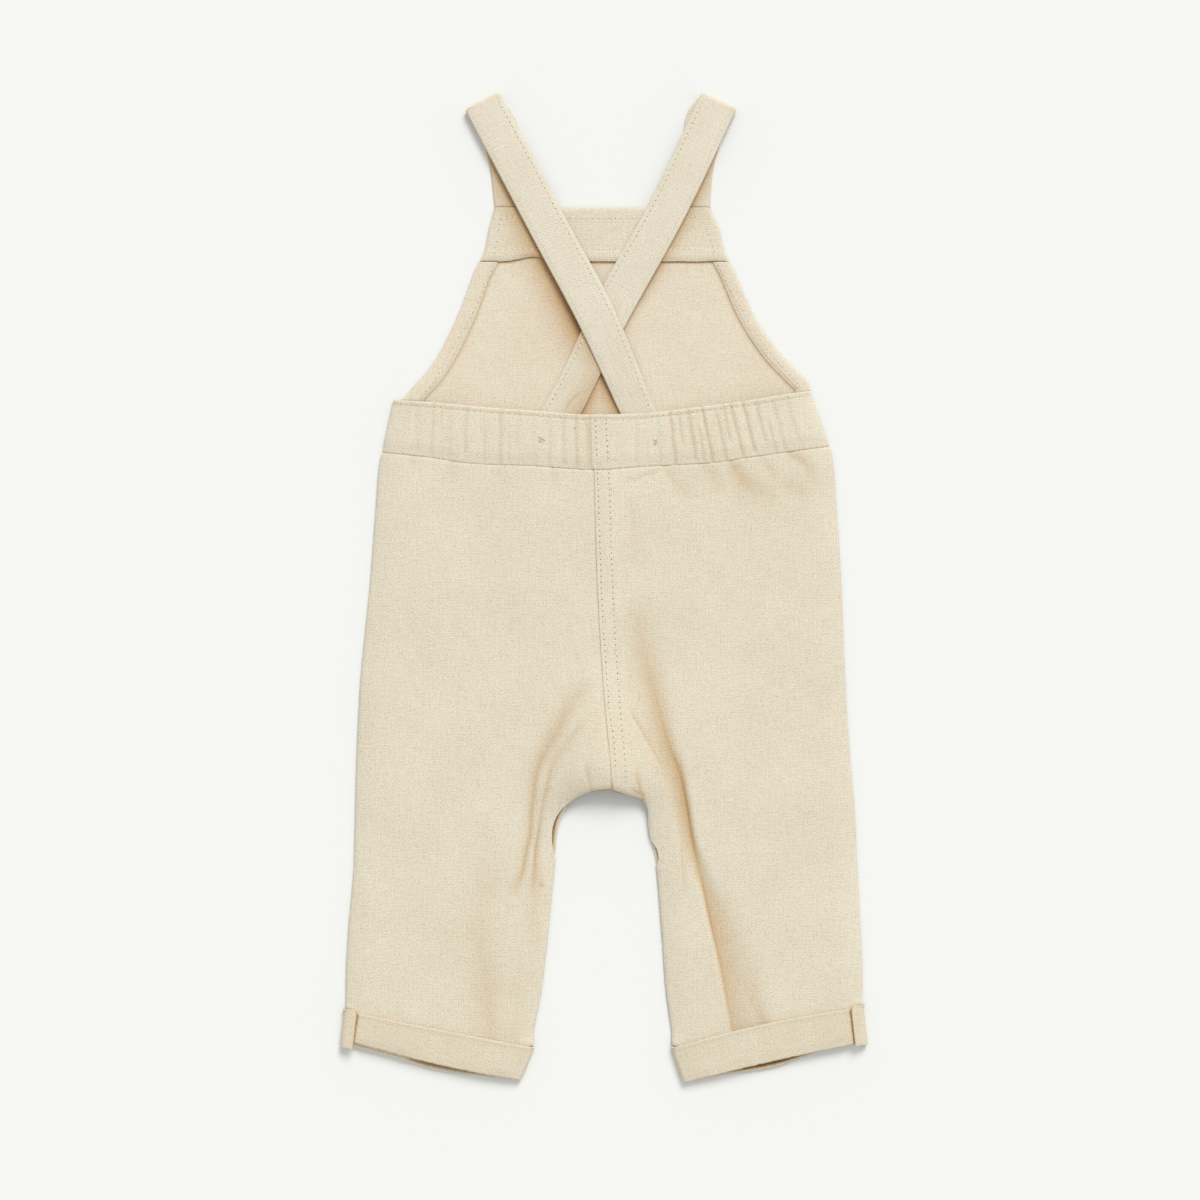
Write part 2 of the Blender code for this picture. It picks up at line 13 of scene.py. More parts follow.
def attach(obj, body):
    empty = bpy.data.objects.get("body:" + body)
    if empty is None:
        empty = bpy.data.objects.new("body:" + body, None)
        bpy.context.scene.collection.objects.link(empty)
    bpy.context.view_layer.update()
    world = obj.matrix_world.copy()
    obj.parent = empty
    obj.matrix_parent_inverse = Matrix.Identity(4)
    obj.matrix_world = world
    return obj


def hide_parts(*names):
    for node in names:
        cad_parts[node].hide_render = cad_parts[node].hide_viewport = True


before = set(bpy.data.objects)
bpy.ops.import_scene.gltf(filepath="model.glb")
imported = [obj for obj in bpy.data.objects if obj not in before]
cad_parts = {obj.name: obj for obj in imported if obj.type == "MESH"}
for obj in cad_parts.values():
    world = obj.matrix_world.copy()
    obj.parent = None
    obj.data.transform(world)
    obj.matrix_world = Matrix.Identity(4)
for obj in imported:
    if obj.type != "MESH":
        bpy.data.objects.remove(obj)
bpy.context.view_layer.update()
millimetre = 0.001
print("frame loaded:", len(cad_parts), "nodes")


def toLinear(hexColour):
    parts = [int(hexColour[i:i + 2], 16) / 255 for i in (1, 3, 5)]
    return [p / 12.92 if p <= 0.04045 else ((p + 0.055) / 1.055) ** 2.4 for p in parts] + [1.0]


def addNode(tree, kind, settings, output=0):
    # settings are keyed by a socket's name or number, or by the node's own property; gives an output
    node = tree.nodes.new("ShaderNode" + kind)
    for key, value in settings.items():
        if isinstance(value, bpy.types.NodeSocket):
            tree.links.new(value, node.inputs[key])
        elif isinstance(key, str) and hasattr(node, key):
            setattr(node, key, value)
        else:
            node.inputs[key].default_value = value
    return node.outputs[output]


def ease(t):
    t = np.clip(t, 0.0, 1.0)
    return t * t * (3 - 2 * t)


def bell(distance, width):
    return np.exp(-(distance / width) ** 2)


def summed(runs):
    return np.concatenate(([0], np.cumsum(runs)))


def between(t, run, ends, slopes):
    # a smooth curve from one value to the next that leaves and arrives with these slopes
    return (ends[0] * (2 * t ** 3 - 3 * t ** 2 + 1) + slopes[0] * run * (t ** 3 - 2 * t ** 2 + t)
            + ends[1] * (3 * t ** 2 - 2 * t ** 3) + slopes[1] * run * (t ** 3 - t ** 2))


def through(places, values, at):
    # a smooth curve through the values of a table, which never overshoots them
    places, values, at = (np.asarray(a, float) for a in (places, values, at))
    runs = np.diff(places)
    rises = np.diff(values) / runs
    slopes = np.zeros_like(values)
    slopes[0], slopes[-1] = rises[0], rises[-1]
    before, after = rises[:-1], rises[1:]
    same = before * after > 0
    slopes[1:-1][same] = 2 * before[same] * after[same] / (before[same] + after[same])
    spot = np.clip(np.searchsorted(places, at, side="right") - 1, 0, len(places) - 2)
    run = runs[spot]
    t = np.clip((at - places[spot]) / run, 0, 1)
    return between(t, run, (values[spot], values[spot + 1]), (slopes[spot], slopes[spot + 1]))


def pathThrough(points, step):
    # evenly spaced points on a smooth curve through these, of any number of columns
    points = np.asarray(points, float)
    lengths = summed(np.hypot(*np.diff(points[:, :2], axis=0).T))
    at = np.linspace(0, lengths[-1], max(2, round(lengths[-1] / step) + 1))
    return np.stack([through(lengths, column, at) for column in points.T], axis=1)


def nearPath(x, y, path):
    # distance to a path, how far along it (in points), and which side: 1 is right when it runs down
    best = np.full(x.shape, 1e9)
    along = np.zeros(x.shape)
    side = np.ones(x.shape)
    for number, (start, run) in enumerate(zip(path[:-1, :2], np.diff(path[:, :2], axis=0))):
        dx, dy = x - start[0], y - start[1]
        share = np.clip((dx * run[0] + dy * run[1]) / (run @ run), 0, 1)
        gap = np.hypot(dx - run[0] * share, dy - run[1] * share)
        closer = gap < best
        best = np.where(closer, gap, best)
        along = np.where(closer, number + share, along)
        side = np.where(closer, np.sign(run[0] * dy - run[1] * dx), side)
    return best, along, side


def ripple(x, y, size, seed):
    # smooth unevenness from -1 to 1, with lumps of about this size
    flat = zip(np.ravel(x) / size, np.ravel(y) / size)
    return np.array([noise.noise((a, b, seed)) for a, b in flat]).reshape(np.shape(x))


def marks(length, step, rim=(0.06, 0.2, 0.45, 0.8)):
    # places along a length, closer together at both ends where the edge is rounded
    ends = np.array((0.0, *rim))
    start = rim[-1] + 0.6
    middle = np.linspace(start, length - start, max(2, round((length - 2 * start) / step) + 1))
    return np.concatenate((ends, middle, length - ends[::-1]))


def rounded(rowMarks, columnMarks, wall):
    # half of the wall at each point, thinned to nothing round the edges
    gap = np.minimum(rowMarks, rowMarks[-1] - rowMarks)[:, None]
    if columnMarks is not None:
        gap = np.minimum(gap, np.minimum(columnMarks, columnMarks[-1] - columnMarks))
    return wall / 2 * np.sqrt(1 - (1 - np.clip(gap / (wall / 2), 0, 1)) ** 2)


def gridCut(columnPlaces, rowPlaces):
    # a piece's place on the flat cloth, straight from the distances along its columns and rows
    return np.stack(np.broadcast_arrays(columnPlaces, rowPlaces[:, None]), axis=2)


def addObject(name, data):
    made = bpy.data.objects.new(name, data)
    bpy.context.scene.collection.objects.link(made)
    return made


pieces = {}     # every piece made: its object, and a tree of its faces for placing stitches


def clothShell(name, middle, half, cut, material, fold=0.0, closed=False):
    # a closed wall of cloth round its middle surface, rounded where half runs out to nothing;
    # cut is each point's place on the flat cloth, and fold is how deep in painted shade a point lies
    rows, columns = middle.shape[:2]
    up = np.gradient(middle, axis=0)
    along = np.gradient(middle, axis=1)
    if closed:
        along = (np.roll(middle, -1, axis=1) - np.roll(middle, 1, axis=1)) / 2
    normal = np.cross(along, up)
    normal /= np.maximum(np.linalg.norm(normal, axis=2, keepdims=True), 1e-9)
    half = np.broadcast_to(half, (rows, columns))
    offset = normal * half[..., None]
    points = np.concatenate(((middle + offset).reshape(-1, 3), (middle - offset).reshape(-1, 3)))

    one = np.arange(rows * columns).reshape(rows, columns)
    other = np.where(half < 1e-6, one, one + rows * columns)    # the two sides meet along an edge
    i, j = (a.ravel() for a in np.meshgrid(np.arange(rows - 1), np.arange(columns - (not closed)),
                                           indexing="ij"))
    after = (j + 1) % columns
    corners = ((i, j, j), (i, after, j + 1), (i + 1, after, j + 1), (i + 1, j, j))
    first = np.stack([one[a, b] for a, b, _ in corners], axis=1)
    second = np.stack([other[a, b] for a, b, _ in corners], axis=1)[:, ::-1]
    flat = np.stack([cut[a, c] for a, _, c in corners], axis=1)
    used, faces = np.unique(np.concatenate((first, second)), return_inverse=True)
    faces = faces.reshape(-1, 4)
    points = points[used]

    mesh = bpy.data.meshes.new(name)
    mesh.from_pydata((points * millimetre).tolist(), [], faces.tolist())
    mesh.polygons.foreach_set("use_smooth", np.ones(len(faces), bool))
    places = np.concatenate((flat, flat[:, ::-1])) * millimetre
    mesh.uv_layers.new(name="cut").data.foreach_set("uv", places.astype(np.float32).ravel())
    # the fold attribute carries each point's painted shade to the material
    shade = np.tile(np.broadcast_to(fold, (rows, columns)).ravel(), 2)[used]
    mesh.attributes.new("fold", "FLOAT", "POINT").data.foreach_set("value", shade.astype(np.float32))
    mesh.materials.append(material)
    piece = addObject(name + "_cloth", mesh)
    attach(piece, "root")
    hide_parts(name)
    pieces[name] = {"object": piece, "tree": BVHTree.FromPolygons(points.tolist(), faces.tolist()),
                    "stitches": []}
    print("made", name, "with", len(faces) * 2, "triangles")


def flatCut(middle, turn=0.0):
    # the cloth's own place as seen from above, with its grain turned by some degrees
    x, y = middle[..., 0], middle[..., 1]
    c, s = math.cos(math.radians(turn)), math.sin(math.radians(turn))
    return np.stack((x * c + y * s, y * c - x * s), axis=-1)


# Linen and cotton twill, unbleached and washed: the diagonal ridges catch a little light, and the
# slubs and flecks of the linen break them up. Matt, with a faint nap. Distances are millimetres.
twillLooks = {
    "ridge": 1.5,           # from one diagonal ridge to the next
    "ridgeAngle": 40.0,     # degrees that the ridges rise to the right
    "yarn": 1.2,            # real yarn is 0.4 mm, drawn coarser so that it shows
    "wander": 1.6,          # how far the yarn strays
    "patch": 24.0,          # the ridges come and go over this distance
    "everywhere": 0.06,     # share of them left between these patches
    "light": "#EBE6D7",
    "dark": "#CBBFA3",
    "fleck": "#A58F6C",
    "pink": "#E8D2BA",
    "green": "#DCDCC0",
    "roughness": 0.9,
    "relief": 0.11,         # height of a ridge
    "ridgeShare": 0.45,     # how much each of these counts in the surface
    "yarnShare": 0.65,
    "gritShare": 1.6,
    "slubShare": 0.6,
}


def newMaterial(name, roughness, specular):
    material = bpy.data.materials.new(name)
    material.use_nodes = True
    shader = material.node_tree.nodes["Principled BSDF"]
    shader.inputs["Roughness"].default_value = roughness
    shader.inputs["Specular IOR Level"].default_value = specular
    return material, material.node_tree, shader


def makeTwill(name, changes=None):
    looks = dict(twillLooks, **(changes or {}))
    material, tree, shader = newMaterial(name, looks["roughness"], 0.25)

    def add(kind, settings, output=0):
        return addNode(tree, kind, settings, output)

    def noiseOf(place, size, detail=2.0, stretch=None):
        if stretch:
            place = add("Mapping", {"Scale": stretch, "Vector": place})
        return add("TexNoise", {"noise_dimensions": "2D", "Scale": 1 / size, "Detail": detail,
                                "Vector": place})

    def stripes(place, spacing, turn, bend=0.0):
        turned = add("Mapping", {"Rotation": (0, 0, math.radians(turn)), "Vector": place})
        return add("TexWave", {"bands_direction": "X", "Scale": 2 * math.pi / (20 * spacing),
                               "Distortion": bend, "Detail": 1.0, "Detail Scale": 2.0, "Vector": turned},
                   "Fac")

    def spread(value, low, high, toLow=0.0, toHigh=1.0):
        return add("MapRange", {"From Min": low, "From Max": high, "To Min": toLow, "To Max": toHigh,
                                "Value": value})

    def maths(operation, a, b):
        return add("Math", {"operation": operation, 0: a, 1: b})

    def weighed(value, middle, share):
        # how far a pattern lies from its middle, times its share
        return maths("MULTIPLY", maths("SUBTRACT", value, middle), share)

    def blend(kind, share, under, over):
        return add("Mix", {"data_type": "RGBA", "blend_type": kind, 0: share, 6: under, 7: over}, 2)

    cut = add("UVMap", {"uv_map": "cut"})
    place = add("VectorMath", {"operation": "SCALE", "Scale": 1 / millimetre, 0: cut})
    drift = add("TexNoise", {"noise_dimensions": "2D", "Scale": 1 / 5.0, "Detail": 2.0, "Vector": place},
                "Color")
    wander = looks["wander"]
    strayed = add("VectorMath", {"operation": "MULTIPLY_ADD", 0: drift, 1: (wander, wander, 0), 2: place})

    ridges = stripes(strayed, looks["ridge"], 90 - looks["ridgeAngle"], 1.2)
    warp = stripes(strayed, looks["yarn"], 0)
    weft = stripes(strayed, looks["yarn"] * 0.9, 90)
    patches = spread(noiseOf(place, looks["patch"]), 0.44, 0.68, looks["everywhere"], 1.0)
    yarns = maths("MULTIPLY", maths("ADD", warp, weft), 0.5)
    ridges = maths("MULTIPLY", maths("SUBTRACT", ridges, 0.5), patches)
    weave = maths("ADD", maths("MULTIPLY", ridges, looks["ridgeShare"]),
                  weighed(yarns, 0.5, looks["yarnShare"]))
    weftSlubs = noiseOf(place, 1.0, 1.0, (1 / 9, 1 / 0.7, 1))
    warpSlubs = noiseOf(place, 1.0, 1.0, (1 / 0.6, 1 / 14, 1))
    slubs = weighed(maths("ADD", weftSlubs, warpSlubs), 1.0, looks["slubShare"])
    grit = weighed(noiseOf(place, 1.1, 3.0), 0.5, looks["gritShare"])
    surface = maths("ADD", weave, maths("ADD", grit, slubs))

    # each tint comes through where a noise of this size in mm lies between two levels
    colour = blend("MIX", spread(surface, -0.75, 0.75), toLinear(looks["dark"]), toLinear(looks["light"]))
    for tint, where, size, detail, low, high, most in (("pink", place, 2.6, 2.0, 0.5, 0.72, 0.55),
                                                       ("green", strayed, 3.1, 2.0, 0.5, 0.28, 0.4),
                                                       ("fleck", strayed, 1.5, 1.0, 0.74, 0.84, 0.35)):
        share = spread(noiseOf(where, size, detail), low, high, 0.0, most)
        colour = blend("MIX", share, colour, toLinear(looks[tint]))
    washed = spread(noiseOf(place, 38.0, 3.0), 0.3, 0.7, 0.0, 0.12)
    colour = blend("MULTIPLY", washed, colour, toLinear("#DCCDB0"))

    # Painted shade: the fold attribute darkens and warms the base colour through this ramp, for shade in
    # creases, under the straps, along edges and in the openings
    depth = add("Attribute", {"attribute_name": "fold"}, "Fac")
    shade = add("ValToRGB", {"Fac": maths("MULTIPLY", depth, 0.5)})
    ramp = shade.node.color_ramp.elements
    ramp[0].color = (1, 1, 1, 1)
    ramp[1].color = toLinear("#A0764E")
    ramp.new(0.5).color = toLinear("#E4CBAB")
    tree.links.new(blend("MULTIPLY", 1.0, colour, shade), shader.inputs["Base Color"])
    bump = add("Bump", {"Strength": 1.0, "Distance": looks["relief"] * millimetre, "Height": surface})
    tree.links.new(bump, shader.inputs["Normal"])
    shader.inputs["Sheen Weight"].default_value = 0.12
    shader.inputs["Sheen Roughness"].default_value = 0.5
    return material


faceTwill = makeTwill("linen_twill_face")
insideTwill = makeTwill("linen_twill_inside", {"light": "#ECE4D4", "dark": "#CFBFA4", "relief": 0.08})
strapTwill = makeTwill("linen_twill_strap", {"light": "#EBE6D9", "dark": "#CEC4AA"})
bandTwill = makeTwill("linen_twill_waistband", {"everywhere": 0.65})


def makeSpeckled(name, mainColour, otherColour, scale, roughness, specular):
    # one colour passing into another in fine specks
    material, tree, shader = newMaterial(name, roughness, specular)
    place = addNode(tree, "TexCoord", {}, "Object")
    specks = addNode(tree, "TexNoise", {"Scale": scale, "Detail": 1.0, "Vector": place})
    tint = addNode(tree, "Mix", {"data_type": "RGBA", 0: specks, 6: toLinear(mainColour),
                                 7: toLinear(otherColour)}, 2)
    tree.links.new(tint, shader.inputs["Base Color"])
    return material


# Spun polyester sewing thread: a slightly brighter line than the cloth, with a dull sheen.
sewingThread = makeSpeckled("polyester_thread", "#DED6C2", "#F4EAD6", 1800.0, 0.6, 0.35)
tackThread = makeSpeckled("polyester_tack_thread", "#AE9062", "#F4EAD6", 1800.0, 0.6, 0.35)
# Painted shade in a needle hole, where the cloth is pulled in: a small dull dark spot.
needleHoleShade = makeSpeckled("needle_hole_shade", "#5C4A34", "#A5947A", 300.0, 1.0, 0.0)

cloth = {
    "wall": 1.0,            # one layer of twill
    "layer": 1.3,           # one layer and the clearance over it
    "seamGap": 0.3,
    "loft": 2.6,            # how far the back puffs up between its edges
    "loftReach": 14.0,
    "hemLoft": 0.45,        # share of it left inside the cuffs
    "edgeTurn": 2.4,        # a folded edge turns down to the surface over this distance
    "lumps": 0.10,          # soft unevenness of washed cloth
    "crotchLift": 11.0,     # height of the crotch above the surface
    "crotch": (1.0, -108.0),
    "crotchReach": (24.0, 48.0, 20.0),      # how far that lift goes: to the sides, up the back, down
}

# A leg from the waist seam down to the hem: sideX, sideY, innerX, innerY, bow of the row.
legLeft = np.array((
    (-121.8, 73.7, -5.9, 64.1, 0), (-125.4, 42.6, -5.2, 39.9, 0), (-128.4, 4.1, -4.1, 4.1, 0),
    (-134.2, -56.4, -0.6, -56.4, 0), (-136.1, -97, 3.2, -97, 0), (-136.4, -108, 3.9, -109.4, 0),
    (-136.5, -115, -5, -110.8, 0), (-136.7, -121, -16.6, -116.2, 0), (-136.8, -128, -20.9, -121, 0),
    (-137, -137, -25.3, -132.8, 0), (-137.5, -154, -27, -150, 0), (-140.6, -190, -31, -192, 0),
    (-141.9, -216, -34.8, -224, 0), (-141.9, -227, -39, -246, 0), (-141.6, -233, -38.6, -252.6, 0),
    (-143.9, -247.6, -45.2, -269.3, -1.5),
))
legRight = np.array((
    (124, 76.2, -5.6, 64.1, 0), (127.9, 42.6, -4.9, 39.9, 0), (130.4, 4.1, -3.8, 4.1, 0),
    (132.9, -56.4, -0.3, -56.4, 0), (135.7, -97, 3.5, -97, 0), (136.6, -108, 4.2, -109.4, 0),
    (137.3, -115, 12.1, -113, 0), (137.8, -121, 20.5, -116.2, 0), (138.2, -128, 24, -122, 0),
    (138.6, -137, 24.8, -135, 0), (139.3, -152, 28.4, -150, 0), (141.2, -188, 32, -190, 0),
    (142.2, -212, 34.4, -222, 0), (142, -224.8, 37.5, -246, 1.8), (141.6, -230.8, 37.5, -252.6, 2.3),
    (143.9, -249, 43, -270.6, 1.1),
))
crotchRow, aboveCuff, cuffTop, hemRow = 5, 13, 14, 15      # rows of the two tables

# The waistband from the left side seam to the right one: topX, topY, seamX, seamY.
waistLine = np.array((
    (-115.5, 103.1, -121.8, 74), (-91.9, 101.4, -97.9, 71.4), (-65.5, 98.9, -68.2, 67.4),
    (-39.6, 97.1, -41, 66.6), (-7.2, 94.9, -6.1, 64.4), (19.8, 95.5, 25.3, 66.3), (47.3, 98.5, 56.1, 67.9),
    (74.8, 102, 84.2, 71.8), (94.1, 105.1, 105.6, 74.8), (112.8, 108.1, 123.8, 77.3),
))

# The bib from the waist seam up to its top edge: y, left, right.
bibLine = np.array((
    (74, -121.6, 123.8), (100.9, -115.2, 115), (104.2, -110.3, 113.9), (111.4, -104.2, 112.8),
    (119.6, -96.8, 105.6), (130.6, -89.7, 95.2), (152.6, -79.2, 80.9), (174.6, -71, 71.5),
    (185.6, -65.5, 66), (196.6, -63.3, 63.3), (209.3, -60, 57.8),
))

# The felled seam down the middle of the back: its open edge and the two rows of stitches.
seamEdge = pathThrough(((-7.2, 95.0), (-6.1, 65.2), (-5.2, 39.9), (-4.4, 15.1), (-3.3, -15.1), (-1.4, -42.1),
                        (0.8, -69.6), (3.1, -87.7), (3.9, -109.0)), 2.0)
seamRows = (
    ((-4.7, 91.6), (-3.6, 65.2), (-2.8, 39.9), (-1.9, 15.1), (-0.8, -15.1), (1.1, -42.1), (3.3, -69.6),
     (5.8, -87.7), (6.6, -103.7)),
    ((1.1, 89.9), (2.5, 65.2), (3.9, 26.1), (5.0, -5.8), (6.3, -28.9), (7.7, -51.4), (9.4, -74.0),
     (11.6, -97.1), (11.8, -107.0)),
)


def waistSeam(x):
    return through(waistLine[:, 2], waistLine[:, 3], x)


def waistTop(x):
    return through(waistLine[:, 0], waistLine[:, 1], x)


def bibEdges(y):
    return through(bibLine[:, 0], bibLine[:, 1], y), through(bibLine[:, 0], bibLine[:, 2], y)


cuff = {
    "turn": 2.05,           # radius of the wall's middle round each side
    "slack": 0.2,           # the back lies this much looser than a sewn seam
    "depth": 17.0,          # its rings are spaced as on a cuff this deep
    "overhang": 1.6,        # its fold is this far below the hem of the leg inside it
    "curl": 0.45,           # radius of that fold
    "foldThin": 0.35,       # share of the wall lost at the fold
    "topRidge": 0.3,
    "dim": 0.14,            # shade of its cloth all over, which is turned inside out
    "shut": (0.5, 0.7),     # share of the way that its back and its front close up
    "slots": {-1: (-111.0, -60.0), 1: (54.0, 139.0)},      # where each opening gapes: x from, to
}


def legPlace(leg, across, row):
    # plan position on a leg, from the side seam (0) to the centre-back seam or the inseam (1)
    sideX, sideY, innerX, innerY, bow = (through(np.arange(len(leg)), column, row) for column in leg.T)
    tuck = (cuff["turn"] + cloth["wall"] / 2) * np.clip((row - cuffTop + 0.12) / 0.2, 0, 1)
    inward = np.copysign(tuck, innerX - sideX)
    sideX, innerX = sideX + inward, innerX - inward
    x = sideX + (innerX - sideX) * across
    y = sideY + (innerY - sideY) * across + 4 * bow * across * (1 - across)
    seam = waistSeam(x) - cloth["seamGap"] / 2
    share = np.clip(row, 0, 1)
    return x, seam * (1 - share) + y * share


def freeEdges():
    # the edges that the back slopes down to: both sides, and up one inseam and down the other
    fine = np.linspace(0, hemRow, 151)
    below = np.linspace(crotchRow, hemRow, 101)
    edges = []
    for leg, corner in ((legLeft, waistLine[0]), (legRight, waistLine[-1])):
        side = np.stack(legPlace(leg, np.zeros(len(fine)), fine), axis=1)
        edges.append(np.vstack((corner[:2], side)))
    inseams = [np.stack(legPlace(leg, np.ones(len(below)), below), axis=1) for leg in (legLeft, legRight)]
    edges.append(np.vstack((inseams[0][::-1], inseams[1])))
    return edges


slopeEdges = freeEdges()


def backHeight(x, y, row):
    # the underside of the garment's back, and the distance to its nearest free edge
    gap = np.minimum.reduce([nearPath(x, y, edge)[0] for edge in slopeEdges])
    rise = ease(row - aboveCuff)
    puff = np.sin(np.pi / 2 * np.clip(gap / cloth["loftReach"], 0, 1)) ** 0.9
    return cloth["layer"] * (1 + rise) + cloth["loft"] * puff * (1 - (1 - cloth["hemLoft"]) * rise), gap


def crotchLift(x, y):
    # both layers stand off the floor round the crotch, where four seams meet
    middleX, middleY = cloth["crotch"]
    aside, above, below = cloth["crotchReach"]
    reach = np.where(y > middleY, above, below)
    return cloth["crotchLift"] * bell(x - middleX, aside) * bell(y - middleY, reach)


def turnedDown(gap):
    # 0 away from a folded edge and 1 on it, along a quarter of a circle
    return 1 - np.sqrt(1 - (1 - np.clip(gap / cloth["edgeTurn"], 0, 1)) ** 2)


def pressed(x, y, creases):
    # how deep the creases are at each place, and how deep in painted shade it lies
    depth, shade = np.zeros(x.shape), np.zeros(x.shape)
    for stations in creases.values():
        path = pathThrough(stations, 1.5)
        reach = 3 * path[:, 3:5].max()
        low, high = path[:, :2].min(axis=0) - reach, path[:, :2].max(axis=0) + reach
        near = (x > low[0]) & (x < high[0]) & (y > low[1]) & (y < high[1])
        gap, along, side = nearPath(x[near], y[near], path)
        deep, left, right, dark = (np.interp(along, np.arange(len(path)), column) for column in path.T[2:])
        width = np.where(side > 0, right, left)
        depth[near] += deep * bell(gap, width)
        tight = np.clip((4.5 - np.minimum(left, right)) / 3.5, 0, 1)
        broad = 0.5 + 0.25 * np.clip((width - 4) / 6, 0, 1)
        soft = broad * np.exp(-(gap / width) ** 1.6) + 0.45 * tight * bell(gap, 0.9)
        shade[near] = np.maximum(shade[near], dark * soft)
    return depth, shade


def lumpy(x, y, seed):
    return cloth["lumps"] * (ripple(x, y, 17.0, seed) + 0.45 * ripple(x, y, 6.0, seed + 9.0))


# Creases, each as stations along it: x, y, depth, its half-width to the left and to the right of
# one who follows it, and how deep in painted shade it lies.
creasesRight = {
    "crotch, at the seam": (
        (2.5, -100.5, 0, 1.2, 1.2, 0), (3.4, -104.5, 0.35, 1, 1, 0.6), (4.4, -108.5, 0.35, 1, 1, 0.9),
    ),
    "crotch, knot beside it": (
        (15.5, -110, 0.1, 1, 1, 0.4), (18.5, -112.3, 0.45, 1, 1, 1), (22, -114.2, 0.45, 1, 1, 1),
    ),
    "right leg, the deep one": (
        (13.2, -6.9, 0, 9, 9, 0), (17.6, -16.8, 0.25, 9, 9, 0.35), (23.1, -37.7, 0.5, 9, 7, 0.65),
        (28.6, -56.4, 0.75, 9, 5, 0.95), (35.2, -83.9, 1.1, 8, 3.2, 1.2), (42.4, -103.1, 1.5, 7.5, 2, 1.5),
        (45.7, -119.1, 1.7, 7, 1.6, 1.6), (48.4, -136.1, 1.7, 6, 1.6, 1.6), (51.7, -152.6, 1.6, 4, 3, 1.45),
        (55.2, -168.4, 1.5, 1.8, 6, 1.25), (58.9, -186.7, 1.4, 1.5, 10, 1.05),
        (62.5, -201.5, 1.3, 1.6, 11, 0.95), (65.5, -216.2, 1.3, 1.8, 12, 0.9),
        (68.2, -230.9, 1.3, 2, 12, 0.75), (70.4, -243.4, 1.3, 2, 12, 0.7),
    ),
    "right leg, fading out below it": (
        (57, -166, 0, 6, 6, 0), (66, -190, 0.25, 8, 7, 0.35), (76, -213, 0.35, 8, 7, 0.5),
        (84, -229, 0.4, 7, 5, 0.7), (88.5, -239, 0.3, 6, 4, 0.9),
    ),
    "right leg, beside it": (
        (38.9, -105.9, 0, 1.5, 2.5, 0), (40, -121.8, 0.55, 1.3, 2.5, 0.5),
        (41.8, -133.9, 0.6, 1.3, 2.5, 0.5), (43.1, -152.6, 0.45, 1.5, 3, 0.4), (43.5, -174.6, 0, 2, 3, 0),
    ),
    "right leg, from the seam": (
        (12.7, -65.2, 0, 1.2, 2, 0), (16.5, -71.8, 0.4, 1, 2, 0.5), (24.2, -85, 0.55, 1, 2.2, 0.6),
        (30.8, -97.6, 0.45, 1.2, 2.5, 0.5), (35.2, -111.4, 0.3, 1.5, 3, 0.3), (36.9, -125.1, 0, 2, 3, 0),
    ),
    "right leg, crotch pucker": (
        (17.6, -97.1, 0, 2, 2, 0), (18.2, -104.8, 0.45, 1.8, 1.6, 0.6), (19.8, -111.4, 0.55, 1.6, 1.4, 0.8),
        (22, -116.3, 0.4, 1.5, 1.5, 0.9),
    ),
    "waist, right, long": (
        (9.9, 56.9, 0, 2.5, 2.5, 0), (17.6, 59.1, 0.35, 2.2, 1.6, 0.2), (25.3, 62.4, 0.35, 2.2, 1.4, 0.2),
        (32.5, 64.4, 0.2, 2, 1.5, 0.1),
    ),
    "waist, right 1": (
        (33, 65.7, 0.3, 3, 3, 0.2), (37.4, 60.2, 0.4, 4, 4, 0.35), (46.2, 50.3, 0.2, 5, 5, 0.35),
        (49.5, 45.9, 0, 5, 5, 0),
    ),
    "waist, right 2": (
        (55, 66.3, 0.3, 3, 3, 0.3), (59.4, 60.8, 0.4, 4, 4, 0.45), (63.8, 54.7, 0.2, 5, 5, 0.35),
        (67.1, 50.3, 0, 5, 5, 0),
    ),
    "waist, right 3": (
        (69.9, 68.5, 0.4, 3, 3, 0.6), (72.6, 64.6, 0.6, 4, 4, 1), (75.9, 59.7, 0.55, 5, 4.5, 1),
        (82.5, 54.2, 0.3, 6, 5, 0.6), (92.4, 50.3, 0.15, 6, 5, 0.3), (96.8, 48.7, 0, 5, 5, 0),
    ),
    "waist, right 4": (
        (86.4, 70.7, 0.3, 2.5, 2.5, 0.3), (89.7, 66.3, 0.35, 3, 3, 0.4), (93.5, 61.9, 0.2, 3, 3, 0.25),
        (96.3, 59.1, 0, 3, 3, 0),
    ),
    "waist, right 5": (
        (95.7, 59.1, 0, 4, 4, 0), (102.3, 54.7, 0.25, 5, 5, 0.4), (109.5, 52, 0.2, 5, 5, 0.35),
        (114.4, 49.8, 0, 4, 4, 0),
    ),
    "waist, right 6": (
        (101.5, 73.4, 0.25, 2.2, 2.2, 0.5), (106.7, 71, 0.4, 2.6, 2.4, 0.8),
        (110.6, 67.5, 0.35, 3.2, 3, 0.6), (114.5, 60.5, 0.2, 4, 3.5, 0.35), (118, 50, 0, 4, 4, 0),
    ),
    "hip, beside the seam": (
        (14.3, 52.5, 0, 3, 3, 0), (15.4, 39.9, 0.25, 3, 4, 0.25), (16.5, 23.4, 0.2, 4, 5, 0.2),
        (17.6, 4.1, 0, 4, 5, 0),
    ),
}
